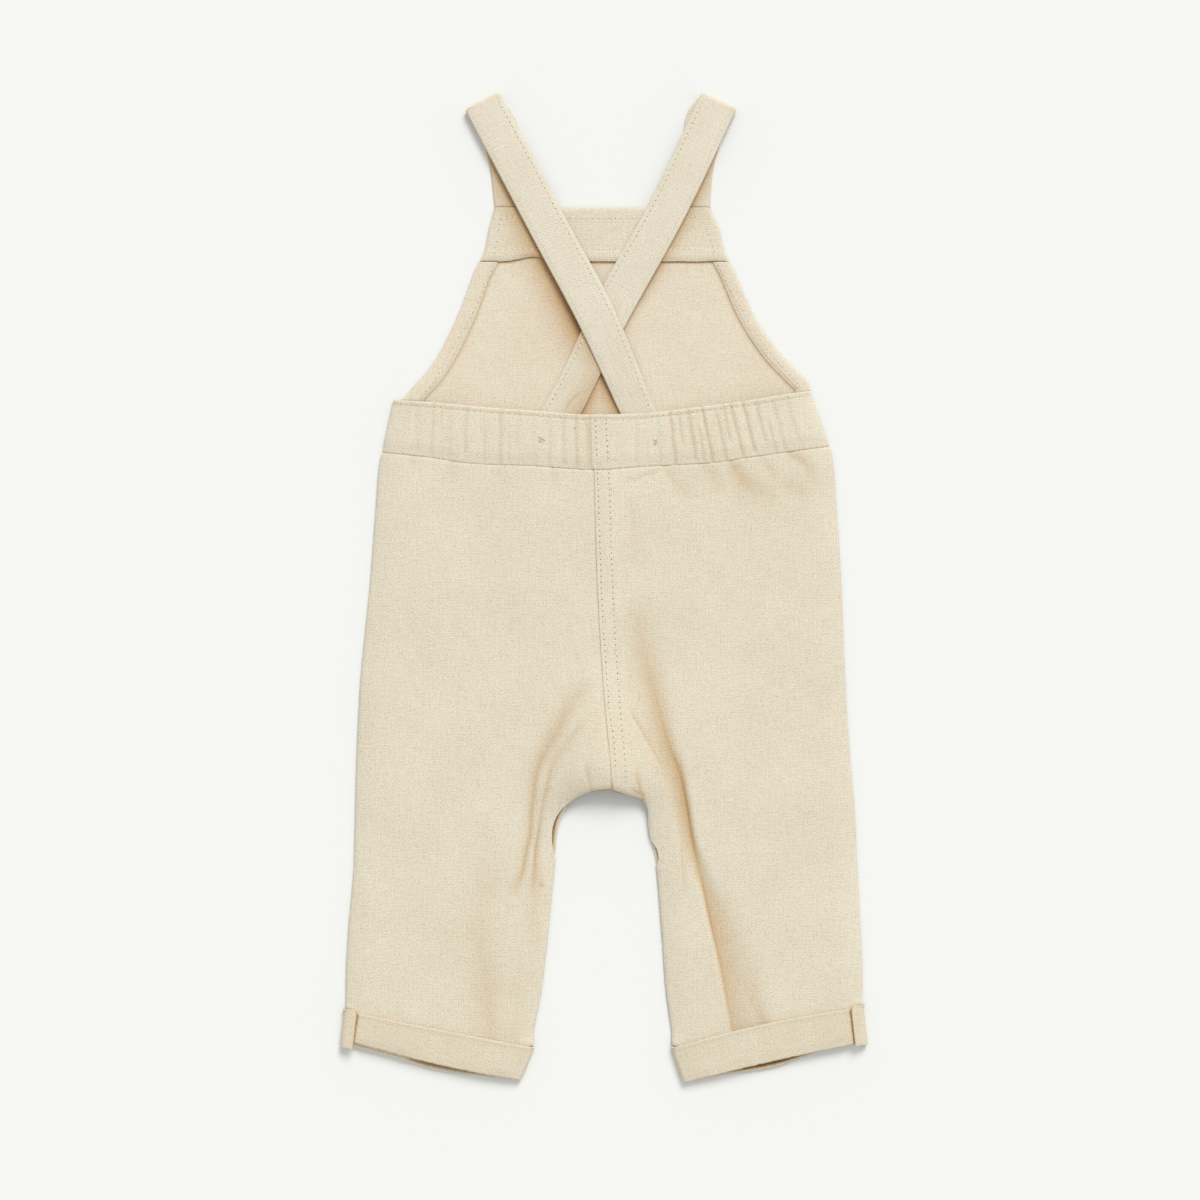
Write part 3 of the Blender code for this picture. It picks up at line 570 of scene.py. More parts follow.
creasesLeft = {
    "left leg, outer": (
        (-9.9, -48.7, 0, 5, 5, 0), (-13.2, -57.5, 0.35, 5.5, 5, 0.4), (-20.4, -68.5, 0.6, 5, 4.5, 0.75),
        (-27, -82.2, 0.8, 5, 4, 0.95), (-34.7, -95.4, 1, 4.5, 3.5, 1.1), (-38, -107.5, 1, 4, 2.5, 1),
        (-39.6, -121.3, 1, 3.5, 2.2, 1), (-40.7, -136.7, 1, 3, 2.2, 1), (-42.5, -144.4, 1, 2.6, 2, 1),
        (-44.8, -156.5, 0.8, 3, 2.2, 0.9), (-47.9, -164.2, 0.5, 3.5, 3, 0.6), (-51.2, -171.9, 0, 4, 4, 0),
    ),
    "left leg, inner": (
        (-11, -70.7, 0, 3, 3, 0), (-14.3, -77.3, 0.3, 3, 3, 0.4), (-20.9, -86.6, 0.5, 4, 3.5, 0.45),
        (-28.6, -98.2, 0.6, 3.5, 3, 0.6), (-31.4, -109.7, 0.65, 2.2, 2, 0.7),
        (-34.1, -121.3, 0.7, 2, 2, 0.7), (-35.8, -132.8, 0.8, 2, 2, 0.9), (-37.7, -145.5, 0.9, 1.8, 2.2, 1),
        (-38.5, -157.6, 0.7, 2, 3, 0.9), (-39.1, -171.9, 0.35, 4, 5, 0.4),
        (-39.1, -193.9, 0.25, 5, 5, 0.25), (-39.6, -210.4, 0, 3, 4, 0),
    ),
    "left leg, crotch pucker": (
        (-9.9, -93.8, 0, 2, 2, 0), (-9.4, -99.3, 0.4, 1.8, 1.8, 0.4), (-8.2, -105.3, 0.45, 1.6, 1.8, 0.5),
        (-6.6, -110.8, 0.3, 1.6, 1.6, 0.4),
    ),
    "left leg, nick": (
        (-36.9, -162.5, 0, 1.2, 1.2, 0), (-34.7, -163.6, 0.5, 1.2, 1.2, 1), (-31.9, -163.9, 0, 1.2, 1.2, 0),
    ),
    "left leg, low and broad": (
        (-63.3, -149.9, 0, 9, 6, 0), (-64.4, -166.4, 0.3, 10, 7, 0.2), (-68.2, -182.9, 0.35, 10, 8, 0.3),
        (-66, -199.4, 0.45, 11, 7, 0.4), (-62.7, -218.6, 0.5, 11, 6, 0.45),
        (-61.6, -232.4, 0.45, 10, 6, 0.45), (-60.5, -245.6, 0.4, 9, 6, 0.45),
    ),
    "left leg, low, inner": (
        (-45, -196, 0, 7, 5, 0), (-48.5, -222, 0.3, 6, 7, 0.2), (-50, -246.7, 0.35, 6, 7, 0.25),
    ),
    "waist, left 1": (
        (-105.1, 71.2, 0.2, 2.2, 2.2, 0.15), (-104.5, 65.7, 0.25, 2.5, 2.5, 0.15), (-104, 59.1, 0, 3, 3, 0),
    ),
    "waist, left 2": (
        (-83.6, 68.5, 0.25, 2.2, 2.2, 0.15), (-83.6, 63.5, 0.25, 2.5, 2.5, 0.15), (-84.7, 56.9, 0, 3, 3, 0),
    ),
    "waist, left 3": (
        (-57.2, 66.3, 0.2, 2.2, 2.2, 0.15), (-56.1, 60.2, 0.25, 2.5, 2.5, 0.2), (-54.5, 51.4, 0, 3, 3, 0),
    ),
    "waist, left 4": (
        (-28.6, 64.6, 0.25, 2.2, 2.2, 0.2), (-27.5, 58, 0.3, 2.5, 2.5, 0.2), (-26.4, 48.1, 0, 3, 3, 0),
    ),
}

backLeg = {
    "span": 120.0,          # its columns are spaced as on a leg this wide
    "rowStep": 1.2,
    "seamRidge": 0.25,      # the felled seam stands this much above the cloth beside it
    "seamWidth": 10.5,
    "seamUnder": 0.7,       # the left panel reaches this far under the right one
    "frontInset": 1.2,      # the front lies this far inside the folded side edges
}
# Where the inseam gapes: y, and how far the back panel draws in.
slitLeft = np.array(((-150, 0.0), (-145, 1.2), (-138, 2.6), (-130, 3.1), (-123, 2.0), (-117, 0.0)))
slitRight = np.array(((-153, 0.0), (-149, 1.7), (-144, 1.9), (-138, 0.0)))


def legRows(leg, step):
    # rows evenly spaced down a leg, closer at both ends, and how far down each is
    fine = np.linspace(0, hemRow, 601)
    runs = [np.hypot(*np.diff(np.stack(legPlace(leg, np.full(601, a), fine)), axis=1)) for a in (0.0, 1.0)]
    lengths = summed((runs[0] + runs[1]) / 2)
    places = marks(lengths[-1], step)
    return np.interp(places, lengths, fine), places


def makeBackLeg(name, leg, creases, slit, sign, seed):
    rows, rowPlaces = legRows(leg, backLeg["rowStep"])
    span = backLeg["span"]
    edge = np.array((0.0, 0.08, 0.25, 0.5, 0.8, 1.15, 1.6, 2.2, 3.0, 4.0))
    inside = np.interp(np.linspace(0, 1, 112)[1:-1], (0, 0.42, 0.92, 1), (4.0, 78.0, 112.0, 116.0))
    columnPlaces = np.concatenate((edge, inside, span - edge[::-1]))
    across, row = np.meshgrid(columnPlaces / span, rows)
    x, y = legPlace(leg, across, row)

    gape = through(slit[:, 0], slit[:, 1], y) * (row > crotchRow)
    x = x - sign * gape * ease((across - 0.88) / 0.12)
    edges = np.exp(-(across * 30) ** 2) + np.exp(-((1 - across) * 30) ** 2) * (row > crotchRow + 0.3)
    x = x + 0.3 * ripple(y, 0 * y, 6.0, seed + 2.0) * edges
    under, gap = backHeight(x, y, row)
    depth, shade = pressed(x, y, creases)
    # painted shade on the slope that rises to the lifted crotch
    shade = np.maximum(shade, 0.12 * bell(x - 2.0, 20.0) * bell(y + 86.0, 22.0))
    puff = np.clip(gap / 8.0, 0, 1)
    rise = ease(row - aboveCuff)
    z = under + (lumpy(x, y, seed) - depth) * puff
    z = np.maximum(z, cloth["layer"] * (1 + rise)) + cloth["wall"] / 2 + crotchLift(x, y)
    open_ = np.clip(gape / 1.2, 0, 1) * (across > 0.5)
    z -= cloth["layer"] * turnedDown(gap) * (1 - open_)

    fromSeam = nearPath(x, y, seamEdge)[0]
    felled = 1 - ease(row - crotchRow + 0.2)
    if sign > 0:    # the left panel goes under the right one
        inner = (1 - across) * span
        z -= 0.5 * ease(1 - inner / 1.4) * felled
        x = x + backLeg["seamUnder"] * np.clip(1 - inner / 2.5, 0, 1) * felled
        # painted shade along its edge where it goes under the right panel
        shade = np.maximum(shade, 0.3 * bell(inner, 0.9) * felled)
    else:
        z += backLeg["seamRidge"] * (1 - ease((fromSeam - backLeg["seamWidth"]) / 3.0)) * felled
        for line in seamRows:
            near = nearPath(x, y, pathThrough(line, 3.0))[0]
            z -= 0.14 * bell(near, 0.8)
    fromTop = np.broadcast_to(rowPlaces[:, None], x.shape)
    z -= 0.3 * ease(1 - fromTop / 1.2) * (1 - turnedDown(gap))
    y = y + 0.45 * np.clip(1 - fromTop / 1.2, 0, 1)

    middle = np.stack((x, y, z), axis=2)
    half = rounded(rowPlaces, columnPlaces, cloth["wall"])
    clothShell(name, middle, half, flatCut(middle), faceTwill, shade)


def makeFrontLeg(name, leg, slit, sign):
    rows, rowPlaces = legRows(leg, 3.0)
    span = backLeg["span"]
    inseam = (115.5, 116.0, 116.6, 117.1, 117.6, 118.1, 118.6, 119.2, 119.55, 119.8, 119.94, 120.0)
    columnPlaces = np.concatenate((marks(span, 3.0)[:-9], inseam))
    across, row = np.meshgrid(columnPlaces / span, rows)
    x, y = legPlace(leg, across, row)
    gape = np.clip(through(slit[:, 0], slit[:, 1], y) / 1.0, 0, 1)
    below = ease(row - crotchRow)
    inset = backLeg["frontInset"]
    x = x - sign * inset * (1 - across) ** 8 + sign * inset * across ** 8 * below * (1 - gape)
    z = cloth["wall"] / 2 + cloth["layer"] * ease(row - aboveCuff) + crotchLift(x, y)
    # painted shade in the gaping inseam
    shade = 1.8 * bell((1 - across) * span - 2.7, 1.1) * gape * below
    lower = bell(x - 3.0, 15.0) * bell(y + 113.0, 7.0)     # a line of it shows below the back's crotch
    # painted shadow on that line of the front below the back's crotch
    shade = np.maximum(shade, 1.7 * lower)
    # painted shade on the hem inside the cuff
    shade = np.maximum(shade, 1.5 * bell(rowPlaces[-1] - rowPlaces, 4.0)[:, None])
    y = y - 1.4 * lower
    middle = np.stack((x, y, z), axis=2)
    half = rounded(rowPlaces, columnPlaces, cloth["wall"])
    clothShell(name, middle, half, flatCut(middle), faceTwill, shade)


makeFrontLeg("front_leg_left", legLeft, slitLeft, -1)
makeFrontLeg("front_leg_right", legRight, slitRight, 1)
makeBackLeg("back_leg_left", legLeft, creasesLeft, slitLeft, 1, 3.0)
makeBackLeg("back_leg_right", legRight, creasesRight, slitRight, -1, 21.0)

waistband = {
    "wall": 2.0,            # elastic between two layers
    "thin": 0.58,           # share of the wall left at the seam
    "lip": 0.24,            # rolled top edge
    "groove": 0.2,          # the stitches pull in below it
    "rowDrop": 2.6,
    "pinch": 3.15,          # the lower seam pulls in at each stitch
    "grid": (32.0, 245.6),  # up and across
}
# Gathers: topX, seamX, depth, half-width, where they start and end (0 seam, 1 top), painted shade.
gathers = (
    (-102.5, -103, 0.22, 2.2, 0.1, 0.9, 0.1), (-93.5, -94.5, 0.36, 1.9, 0, 1, 0.25),
    (-89, -89.5, 0.2, 1.2, 0.5, 1, 0.12), (-84.5, -85, 0.28, 2.1, 0, 0.9, 0.2),
    (-75.5, -76.5, 0.38, 1.8, 0.2, 1, 0.3), (-65, -66, 0.28, 2, 0, 0.8, 0.2),
    (-56.5, -57, 0.38, 1.7, 0, 1, 0.35), (-52, -52.5, 0.22, 1.2, 0, 0.5, 0.15),
    (-47.5, -48.5, 0.26, 2.2, 0.3, 1, 0.15), (-39, -38, 0.2, 2.4, 0, 0.6, 0.1),
    (-29.5, -30, 0.36, 1.8, 0, 0.8, 0.25), (-22.5, -22, 0.34, 1.7, 0.1, 1, 0.3),
    (-15.5, -15, 0.42, 1.5, 0, 1, 0.4), (-9.5, -8.5, 0.36, 1.3, 0, 0.9, 0.35),
    (17, 18, 0.24, 1.6, 0.1, 0.8, 0.1), (23, 24, 0.18, 1.2, 0, 0.5, 0.1), (29, 31, 0.28, 1.6, 0, 0.9, 0.15),
    (36, 39.5, 0.55, 1.3, 0, 1, 0.5), (40.5, 44.5, 0.3, 0.9, 0.4, 1, 0.3), (46, 51, 0.5, 1.3, 0.1, 1, 0.45),
    (50.5, 55.5, 0.3, 0.9, 0, 0.6, 0.3), (53.5, 60, 0.58, 1.2, 0, 1, 0.55),
    (60.5, 67.5, 0.42, 1.4, 0, 0.85, 0.4), (65, 71.5, 0.3, 0.9, 0.4, 1, 0.35),
    (69, 77, 0.55, 1.2, 0, 1, 0.5), (76, 83.5, 0.58, 1.3, 0.1, 1, 0.6), (83, 90.5, 0.4, 1.2, 0.3, 1, 0.45),
    (86.5, 95, 0.28, 1, 0, 0.6, 0.3), (92, 100, 0.3, 1.5, 0, 0.9, 0.25),
    (99.5, 108.5, 0.22, 1.6, 0.2, 1, 0.2),
)


def makeWaistband():
    columnPlaces = marks(waistband["grid"][1], 0.75, (0.08, 0.25, 0.5, 0.8, 1.15, 1.6, 2.2))
    rowPlaces = marks(waistband["grid"][0], 0.75, (0.08, 0.25, 0.5, 0.75, 1.0))
    seamX, share = np.meshgrid(columnPlaces + waistLine[0, 2], rowPlaces / waistband["grid"][0])
    valleys = np.array([(waistLine[0, 0], waistLine[0, 2])] + [g[:2] for g in gathers]
                       + [(waistLine[-1, 0], waistLine[-1, 2])])
    topX = through(valleys[:, 1], valleys[:, 0], seamX)
    x = seamX + (topX - seamX) * share
    low = waistSeam(seamX) + cloth["seamGap"] / 2
    height = waistTop(topX) - waistSeam(seamX)
    y = low + height * share

    under, gap = backHeight(x, y, np.zeros(x.shape))
    fromTop = (1 - share) * height
    fromLow = share * height
    # the elastic stops above the seam
    body = waistband["thin"] + (1 - waistband["thin"]) * ease(fromLow / 8.0)
    z = under + body * waistband["wall"] / 2
    shade = np.zeros(x.shape)
    puff = np.clip(gap / 8.0, 0, 1)
    for top, seam, deep, width, start, end, dark in gathers:
        valley = seam + (top - seam) * share + 0.5 * ripple(share * 20, np.full(x.shape, top), 5.0, 2.0)
        length = ease((share - start + 0.12) / 0.16) * ease((end - share + 0.1) / 0.16)
        aside = x - valley
        width = width * np.where(aside > 0, 0.75, 1.25)     # steeper on one side
        z -= 0.85 * deep * bell(aside, width) * length
        z += 0.3 * deep * bell(aside - 2.0, 1.1) * length
        # painted shade in the gather's valley
        shade = np.maximum(shade, 0.75 * dark * bell(aside, 1.1) * length)
    z += lumpy(x, y, 40.0) * puff
    z += waistband["lip"] * bell(fromTop - 1.1, 1.0)
    z -= waistband["groove"] * bell(fromTop - waistband["rowDrop"], 0.7)
    pinch = 0.5 + 0.5 * np.cos(2 * np.pi * x / waistband["pinch"])
    z -= (0.05 + 0.15 * pinch) * bell(fromLow, 0.9)
    # painted shade along the lower seam where each stitch pulls in, and in the stitch groove
    shade = np.maximum(shade, (0.05 + 0.75 * pinch) * bell(fromLow, 0.6))
    shade = np.maximum(shade, 0.15 * bell(fromTop - waistband["rowDrop"], 0.7))

    gapSeam, _, side = nearPath(x, y, seamEdge)
    beyond = gapSeam * side
    z += 0.35 * ease((beyond + 0.5) / 0.9) * (1 - ease((beyond - backLeg["seamWidth"]) / 3.0))
    # painted shade along the felled seam's edge
    shade = np.maximum(shade, 0.45 * bell(beyond + 0.5, 0.5))
    z = np.maximum(z, cloth["layer"] + body * waistband["wall"] / 2)
    z -= cloth["layer"] * turnedDown(gap)

    middle = np.stack((x, y, z), axis=2)
    half = rounded(rowPlaces, columnPlaces, waistband["wall"]) * body
    clothShell("back_waistband", middle, half, flatCut(middle), bandTwill, shade)


makeWaistband()

strap = {
    "edgeThin": 0.4,        # share of the wall that the pressed edges lose
    "wall": 1.5,            # cloth folded double
    "foldTurn": 1.75,       # radius of the wall's middle where it turns over at the shoulder
    "rowInset": 2.6,        # the stitches are this far inside each edge
    "groove": 0.16,
    "crown": 0.3,           # the edges lie this much lower than the middle
}
# Stations of each half of a strap: x, y, height of the underside, width.
strapLeft = {
    "front": ((-49.5, 208.9, 0.0, 21.2), (-52.2, 232.0, 0.0, 21.2), (-57.6, 251.5, 0.0, 21.2)),
    "shoulder": (-67.2, 267.8),
    "back": ((-30.0, 197.2, 3.7, 21.2), (-3.0, 146.2, 4.3, 21.2), (9.5, 118.0, 3.0, 19.8),
             (18.4, 97.3, 1.4, 18.6), (28.6, 77.5, 1.3, 18.6)),
}
strapRight = {
    "front": ((47.8, 208.9, 0.0, 21.2), (49.8, 232.0, 0.0, 21.2), (54.6, 250.5, 0.0, 21.6),
              (56.0, 256.5, 0.0, 22.4)),
    "shoulder": (63.5, 267.9),
    "back": ((35.0, 208.0, 3.6, 21.2), (3.0, 149.9, 2.3, 21.2), (-11.2, 120.6, 1.9, 19.6),
             (-22.6, 98.2, 1.4, 20.2), (-34.5, 78.0, 1.3, 20.2)),
}
creasesStrapRight = {
    "above the waistband": ((-11.6, 108.6, 0.1, 1.0, 1.0, 0.3), (-15.0, 105.9, 0.3, 1.1, 0.9, 0.9),
                            (-19.0, 101.5, 0.3, 1.0, 0.9, 0.9), (-21.5, 96.6, 0.2, 1.0, 0.9, 0.5)),
}


def loosePath(stops, step):
    # evenly spaced stations on a curve through the stops that may swing a little past them
    stops = np.array(stops, float)
    lengths = summed(np.hypot(*np.diff(stops[:, :2], axis=0).T))
    at = np.linspace(0, lengths[-1], math.ceil(lengths[-1] / step) + 1)
    slopes = np.gradient(stops, lengths, axis=0)
    spot = np.clip(np.searchsorted(lengths, at, side="right") - 1, 0, len(lengths) - 2)
    run = (lengths[spot + 1] - lengths[spot])[:, None]
    t = (at - lengths[spot])[:, None] / run
    return between(t, run, (stops[spot], stops[spot + 1]), (slopes[spot], slopes[spot + 1]))


def sideways(path):
    # unit vectors across a path, towards +x
    along = np.gradient(path[:, :2], axis=0)
    along /= np.linalg.norm(along, axis=1)[:, None]
    across = np.stack((-along[:, 1], along[:, 0]), axis=1)
    return across * np.sign(across[:, :1])


def strapSpine(stops):
    # one loop: up from the bib, over the fold at the shoulder and down across the back
    turn, wall = strap["foldTurn"], strap["wall"]
    shoulder = np.array(stops["shoulder"])
    away = np.array(stops["back"][0][:2]) - shoulder
    away /= np.linalg.norm(away)
    centre = shoulder + away * (turn + wall / 2)
    width = stops["front"][0][3]
    front = loosePath(stops["front"] + ((*centre, 0.0, width),), 1.0)
    back = loosePath(((*centre, 2 * turn, width),) + stops["back"], 1.0)
    sides = [sideways(front), None, sideways(back)]
    square = ease(np.linspace(0, 1, len(front)) * 6)[:, None]
    sides[0] = sides[0] * square + np.array((1.0, 0.0)) * (1 - square)     # cut level with the bib
    across = np.array((-away[1], away[0])) * np.sign(-away[1])
    angle = np.linspace(0, math.pi, 13)[1:-1]
    fold = np.stack((centre[0] - away[0] * turn * np.sin(angle), centre[1] - away[1] * turn * np.sin(angle),
                     turn * (1 - np.cos(angle)), np.full(len(angle), width)), axis=1)
    sides[1] = np.broadcast_to(across, (len(angle), 2))
    return np.vstack((front, fold, back)), np.vstack(sides), len(front) + len(angle)


# Painted warm shadow that each strap throws on what lies under it: which side, how far, how deep, by y.
strapThrow = (
    (strapLeft, -1, ((97, 6.0, 1.2), (140, 9.5, 1.6), (175, 9.5, 1.3), (215, 7.5, 1.1), (250, 3.0, 0.7),
                     (272, 1.5, 0.1))),
    (strapRight, 1, ((97, 5.0, 1.0), (125, 4.5, 0.9), (140, 2.0, 0.4), (175, 4.5, 0.75), (215, 5.5, 0.8),
                     (250, 3.0, 0.5), (272, 1.5, 0.1))),
)


def strapShade(x, y):
    shade = np.zeros(x.shape)
    for stops, way, stations in strapThrow:
        spine, sides, start = strapSpine(stops)
        edge = (spine[:, :2] + way * sides * spine[:, 3:] / 2)[start::3]
        gap, _, side = nearPath(x, y, edge)
        level, reach, deep = np.array(stations).T
        reach, deep = through(level, reach, y), through(level, deep, y)
        outside = deep * (0.85 * np.exp(-(gap / reach) ** 1.5) + 0.25 * bell(gap, 2.0))
        shade = np.maximum(shade, np.where(side == way, outside, 1.3 * deep * bell(gap, 9.0)))
    return shade


armholeHem = {"widthLeft": 9.3, "widthRight": 8.2, "top": 178.9, "length": 92.0}


def hemLine(sign, place):
    # the line that runs this far inside the armhole's edge
    levels = np.linspace(92, 192, 401)
    edge = bibEdges(levels)[sign > 0]
    slope = np.arctan2(np.abs(np.gradient(edge, levels)), 1.0)
    return edge - sign * place * np.cos(slope), levels - place * np.sin(slope), levels


facing = {
    "edge": 179.4,          # level of its free lower edge
    "lift": 0.12,           # how far that edge stands off the bib in the middle
    "bump": (-39.0, 2.6, 9.0),      # where it runs higher: x, how far, half-width
    "hemRow": 186.2,
    "hemStep": 0.3,         # the turned-up hem is thicker
    "grid": (29.9, 130.0),  # up and across
}
bib = {
    "inset": 0.9,
    "waves": 0.5,
    "low": 66.0,            # its hidden lower edge, on the waist seam
    "side": 74.0,           # its outline is straight below this
    "top": 209.3,
    "grid": (140.0, 150.0),  # up and across
}


def makeBib():
    rowPlaces, columnPlaces = (marks(length, 1.25) for length in bib["grid"])
    across, up = np.meshgrid(columnPlaces / bib["grid"][1], rowPlaces / bib["grid"][0])
    inset, top = bib["inset"], bib["top"] - bib["inset"]

    def edgesAt(level):
        left, right = bibEdges(np.maximum(level, bib["side"]))
        return left, right, left + inset + (right - left - 2 * inset) * across

    seam = waistSeam(edgesAt(bib["low"] + (top - bib["low"]) * up)[2]) + cloth["seamGap"] / 2
    y = seam + (top - seam) * up
    left, right, x = edgesAt(y)
    inside = np.minimum(np.minimum(x - left, right - x) - 9.0, np.minimum(177.0 - y, y - 100.0))
    waves = 0.5 + 0.5 * ripple(x, y, 30.0, 5.0) + 0.2 * ripple(x, y, 11.0, 8.0)
    z = cloth["wall"] / 2 + bib["waves"] * waves * ease(inside / 14.0) + np.abs(lumpy(x, y, 60.0))
    line = bell(x + 3.0, 0.8)      # a faint line down from the middle of the facing
    z += 0.12 * line
    # painted shadow of the straps, and painted shade along that faint line
    shade = np.maximum(strapShade(x, y), 0.12 * line)
    bumpX, bump, bumpWidth = facing["bump"]
    under = facing["edge"] + bump * bell(x - bumpX, bumpWidth) - y
    # painted shadow under the facing's lower edge
    shade = np.maximum(shade, 1.2 * bell(np.maximum(under, 0), 0.9) * (np.abs(x) < 66))
    # painted shade along the inner edges of the armhole hems
    for sign, width, dark in ((-1, armholeHem["widthLeft"], 0.5), (1, armholeHem["widthRight"], 0.8)):
        inner = np.stack(hemLine(sign, width)[:2], axis=1)[::8]
        shade = np.maximum(shade, dark * bell(nearPath(x, y, inner)[0], 1.1))
    middle = np.stack((x, y, z), axis=2)
    half = rounded(rowPlaces, columnPlaces, cloth["wall"])
    clothShell("bib", middle, half, flatCut(middle), insideTwill, shade)


makeBib()


def makeFacing():
    rowPlaces = marks(facing["grid"][0], 0.9)
    columnPlaces = marks(facing["grid"][1], 1.0, (0.06, 0.2, 0.45, 0.8, 1.2, 1.7, 2.3))
    across, up = np.meshgrid(columnPlaces / facing["grid"][1], rowPlaces)
    y = facing["edge"] + up
    left, right = bibEdges(y)
    x = left + (right - left) * across
    bumpX, bump, bumpWidth = facing["bump"]
    y = y + bump * bell(x - bumpX, bumpWidth) * np.clip(1 - up / 7, 0, 1)
    uneven = 0.2 * ripple(x, np.zeros(x.shape), 9.0, 4.0) + 0.2 * ripple(x, np.zeros(x.shape), 1.8, 6.0)
    y = y + uneven * np.clip(1 - up / 5, 0, 1)
    lift = facing["lift"] * np.sin(np.pi * across) ** 2 * np.clip(1 - up / 7, 0, 1)
    z = cloth["layer"] + cloth["wall"] / 2 + lift + 0.7 * np.abs(lumpy(x, y, 80.0))
    fromSide = np.minimum(x - left, right - x)
    z += facing["hemStep"] * (1 - ease((y - facing["hemRow"] + 0.6) / 1.2)) * ease(fromSide / 6)
    z -= 0.12 * bell(y - facing["hemRow"], 0.8)
    fromStrap = np.minimum(np.abs(x - strapLeft["front"][0][0]), np.abs(x - strapRight["front"][0][0]))
    overStrap = ease(12.0 - fromStrap)
    gap = np.minimum(fromSide, bib["top"] - y + 3.0 * overStrap)
    z -= cloth["layer"] * turnedDown(gap) + 0.35 * ease(1 - up / 3.0) * (1 - turnedDown(gap))
    middle = np.stack((x, y, z), axis=2)
    half = rounded(rowPlaces, columnPlaces, cloth["wall"]) * (1 - 0.6 * ease(1 - up / 3.0))
    # painted shadow of the straps, and painted shade at the facing's own lower edge
    shade = np.maximum(strapShade(x, y), 0.9 * bell(up, 0.35))
    clothShell("bib_facing", middle, half, flatCut(middle, 90), faceTwill, shade)


makeFacing()


def makeArmholeHem(name, sign, width):
    columnPlaces = marks(width, 0.9, (0.06, 0.2, 0.45, 0.8, 1.2, 1.7))
    rowPlaces = marks(armholeHem["length"], 1.1)
    columns = []
    for place in columnPlaces:
        xs, ys, levels = hemLine(sign, place)
        above = ys - waistTop(xs) - 0.15
        start = np.interp(0.0, above, levels)
        end = np.interp(armholeHem["top"] + 0.3, ys, levels)
        at = start + (end - start) * rowPlaces / armholeHem["length"]
        columns.append(np.stack((np.interp(at, levels, xs), np.interp(at, levels, ys)), axis=1))
    plan = np.stack(columns, axis=1)
    x, y = plan[..., 0], plan[..., 1]
    z = cloth["layer"] + cloth["wall"] / 2 + 0.5 * np.abs(lumpy(x, y, 90.0))
    gap = np.broadcast_to(columnPlaces, x.shape)
    z = z - cloth["layer"] * turnedDown(gap) - 0.12 * bell(gap - width + 1.6, 0.7)
    z -= 0.55 * ease(1 - (width - gap) / 2.5)
    middle = np.stack((x, y, z), axis=2)
    fromInner = width - gap
    half = rounded(rowPlaces, columnPlaces, cloth["wall"]) * (1 - 0.7 * ease(1 - fromInner / 2.5))
    # painted shade at the hem's inner edge
    clothShell(name, middle, half, flatCut(middle, 90), insideTwill, 0.6 * bell(fromInner, 0.35))


makeArmholeHem("armhole_hem_left", -1, armholeHem["widthLeft"])
makeArmholeHem("armhole_hem_right", 1, armholeHem["widthRight"])


def makeStrap(name, stops, creases):
    spine, sides, backStart = strapSpine(stops)
    width = spine[0, 3]
    columnPlaces = marks(width, 0.9)
    share = columnPlaces / width - 0.5
    x = spine[:, :1] + sides[:, :1] * spine[:, 3:] * share
    y = spine[:, 1:2] + sides[:, 1:] * spine[:, 3:] * share
    z = np.repeat(spine[:, 2:3], len(share), axis=1) + strap["wall"] / 2
    fromEdge = np.minimum(columnPlaces, width - columnPlaces)
    onBack = np.arange(len(spine))[:, None] >= backStart
    z -= strap["crown"] * (1 - np.clip(fromEdge / 4, 0, 1)) ** 2 * onBack
    depth, shade = pressed(x, y, creases)
    # painted shadow of the straps on the strap's front half
    thrown = strapShade(x, y)
    shade = np.where(onBack, shade, thrown)
    if name == "strap_right":       # the other strap crosses over this one
        # painted shadow of the strap that crosses over it
        shade = np.maximum(shade, 0.5 * thrown * (y < 165) * (x < 8))
    # painted shade on the rim of the shoulder fold, which faces the light
    tip = 0.2 * bell(np.arange(len(spine)) - backStart + 4.0, 4.5)[:, None]
    shade = np.maximum(shade, tip)
    dim = share < 0 if name == "strap_left" else share > 0      # its side away from the light
    shade = np.maximum(shade, 0.9 * bell(fromEdge, 0.35) * dim * onBack)
    z += (0.6 * lumpy(x, y, len(name) * 7.0) - depth) * onBack
    runs = np.linalg.norm(np.diff(np.dstack((x, y, z))[:, len(share) // 2], axis=0), axis=1)
    rowPlaces = summed(runs)
    half = rounded(rowPlaces, columnPlaces, strap["wall"])
    half *= 1 - strap["edgeThin"] * ease(1 - fromEdge / 2.5)
    half = np.maximum(half - strap["groove"] * bell(fromEdge - strap["rowInset"], 0.6)[None, :], 0)
    cut = gridCut(columnPlaces, rowPlaces)
    clothShell(name, np.stack((x, y, z), axis=2), half, cut, strapTwill, shade)
    pieces[name]["spine"] = (spine[backStart:], sides[backStart:])


makeStrap("strap_left", strapLeft, {})
makeStrap("strap_right", strapRight, creasesStrapRight)

# How much lower the front of each cuff ends than its back: across, left, right.
cuffFrontDrop = np.array((
    (0, 2.7, 0.4), (0.25, 2, 1), (0.5, 3.6, 3.9), (0.6, 3.2, 3.5), (0.75, 2, 1.8), (1, 0.3, 0.2),
))


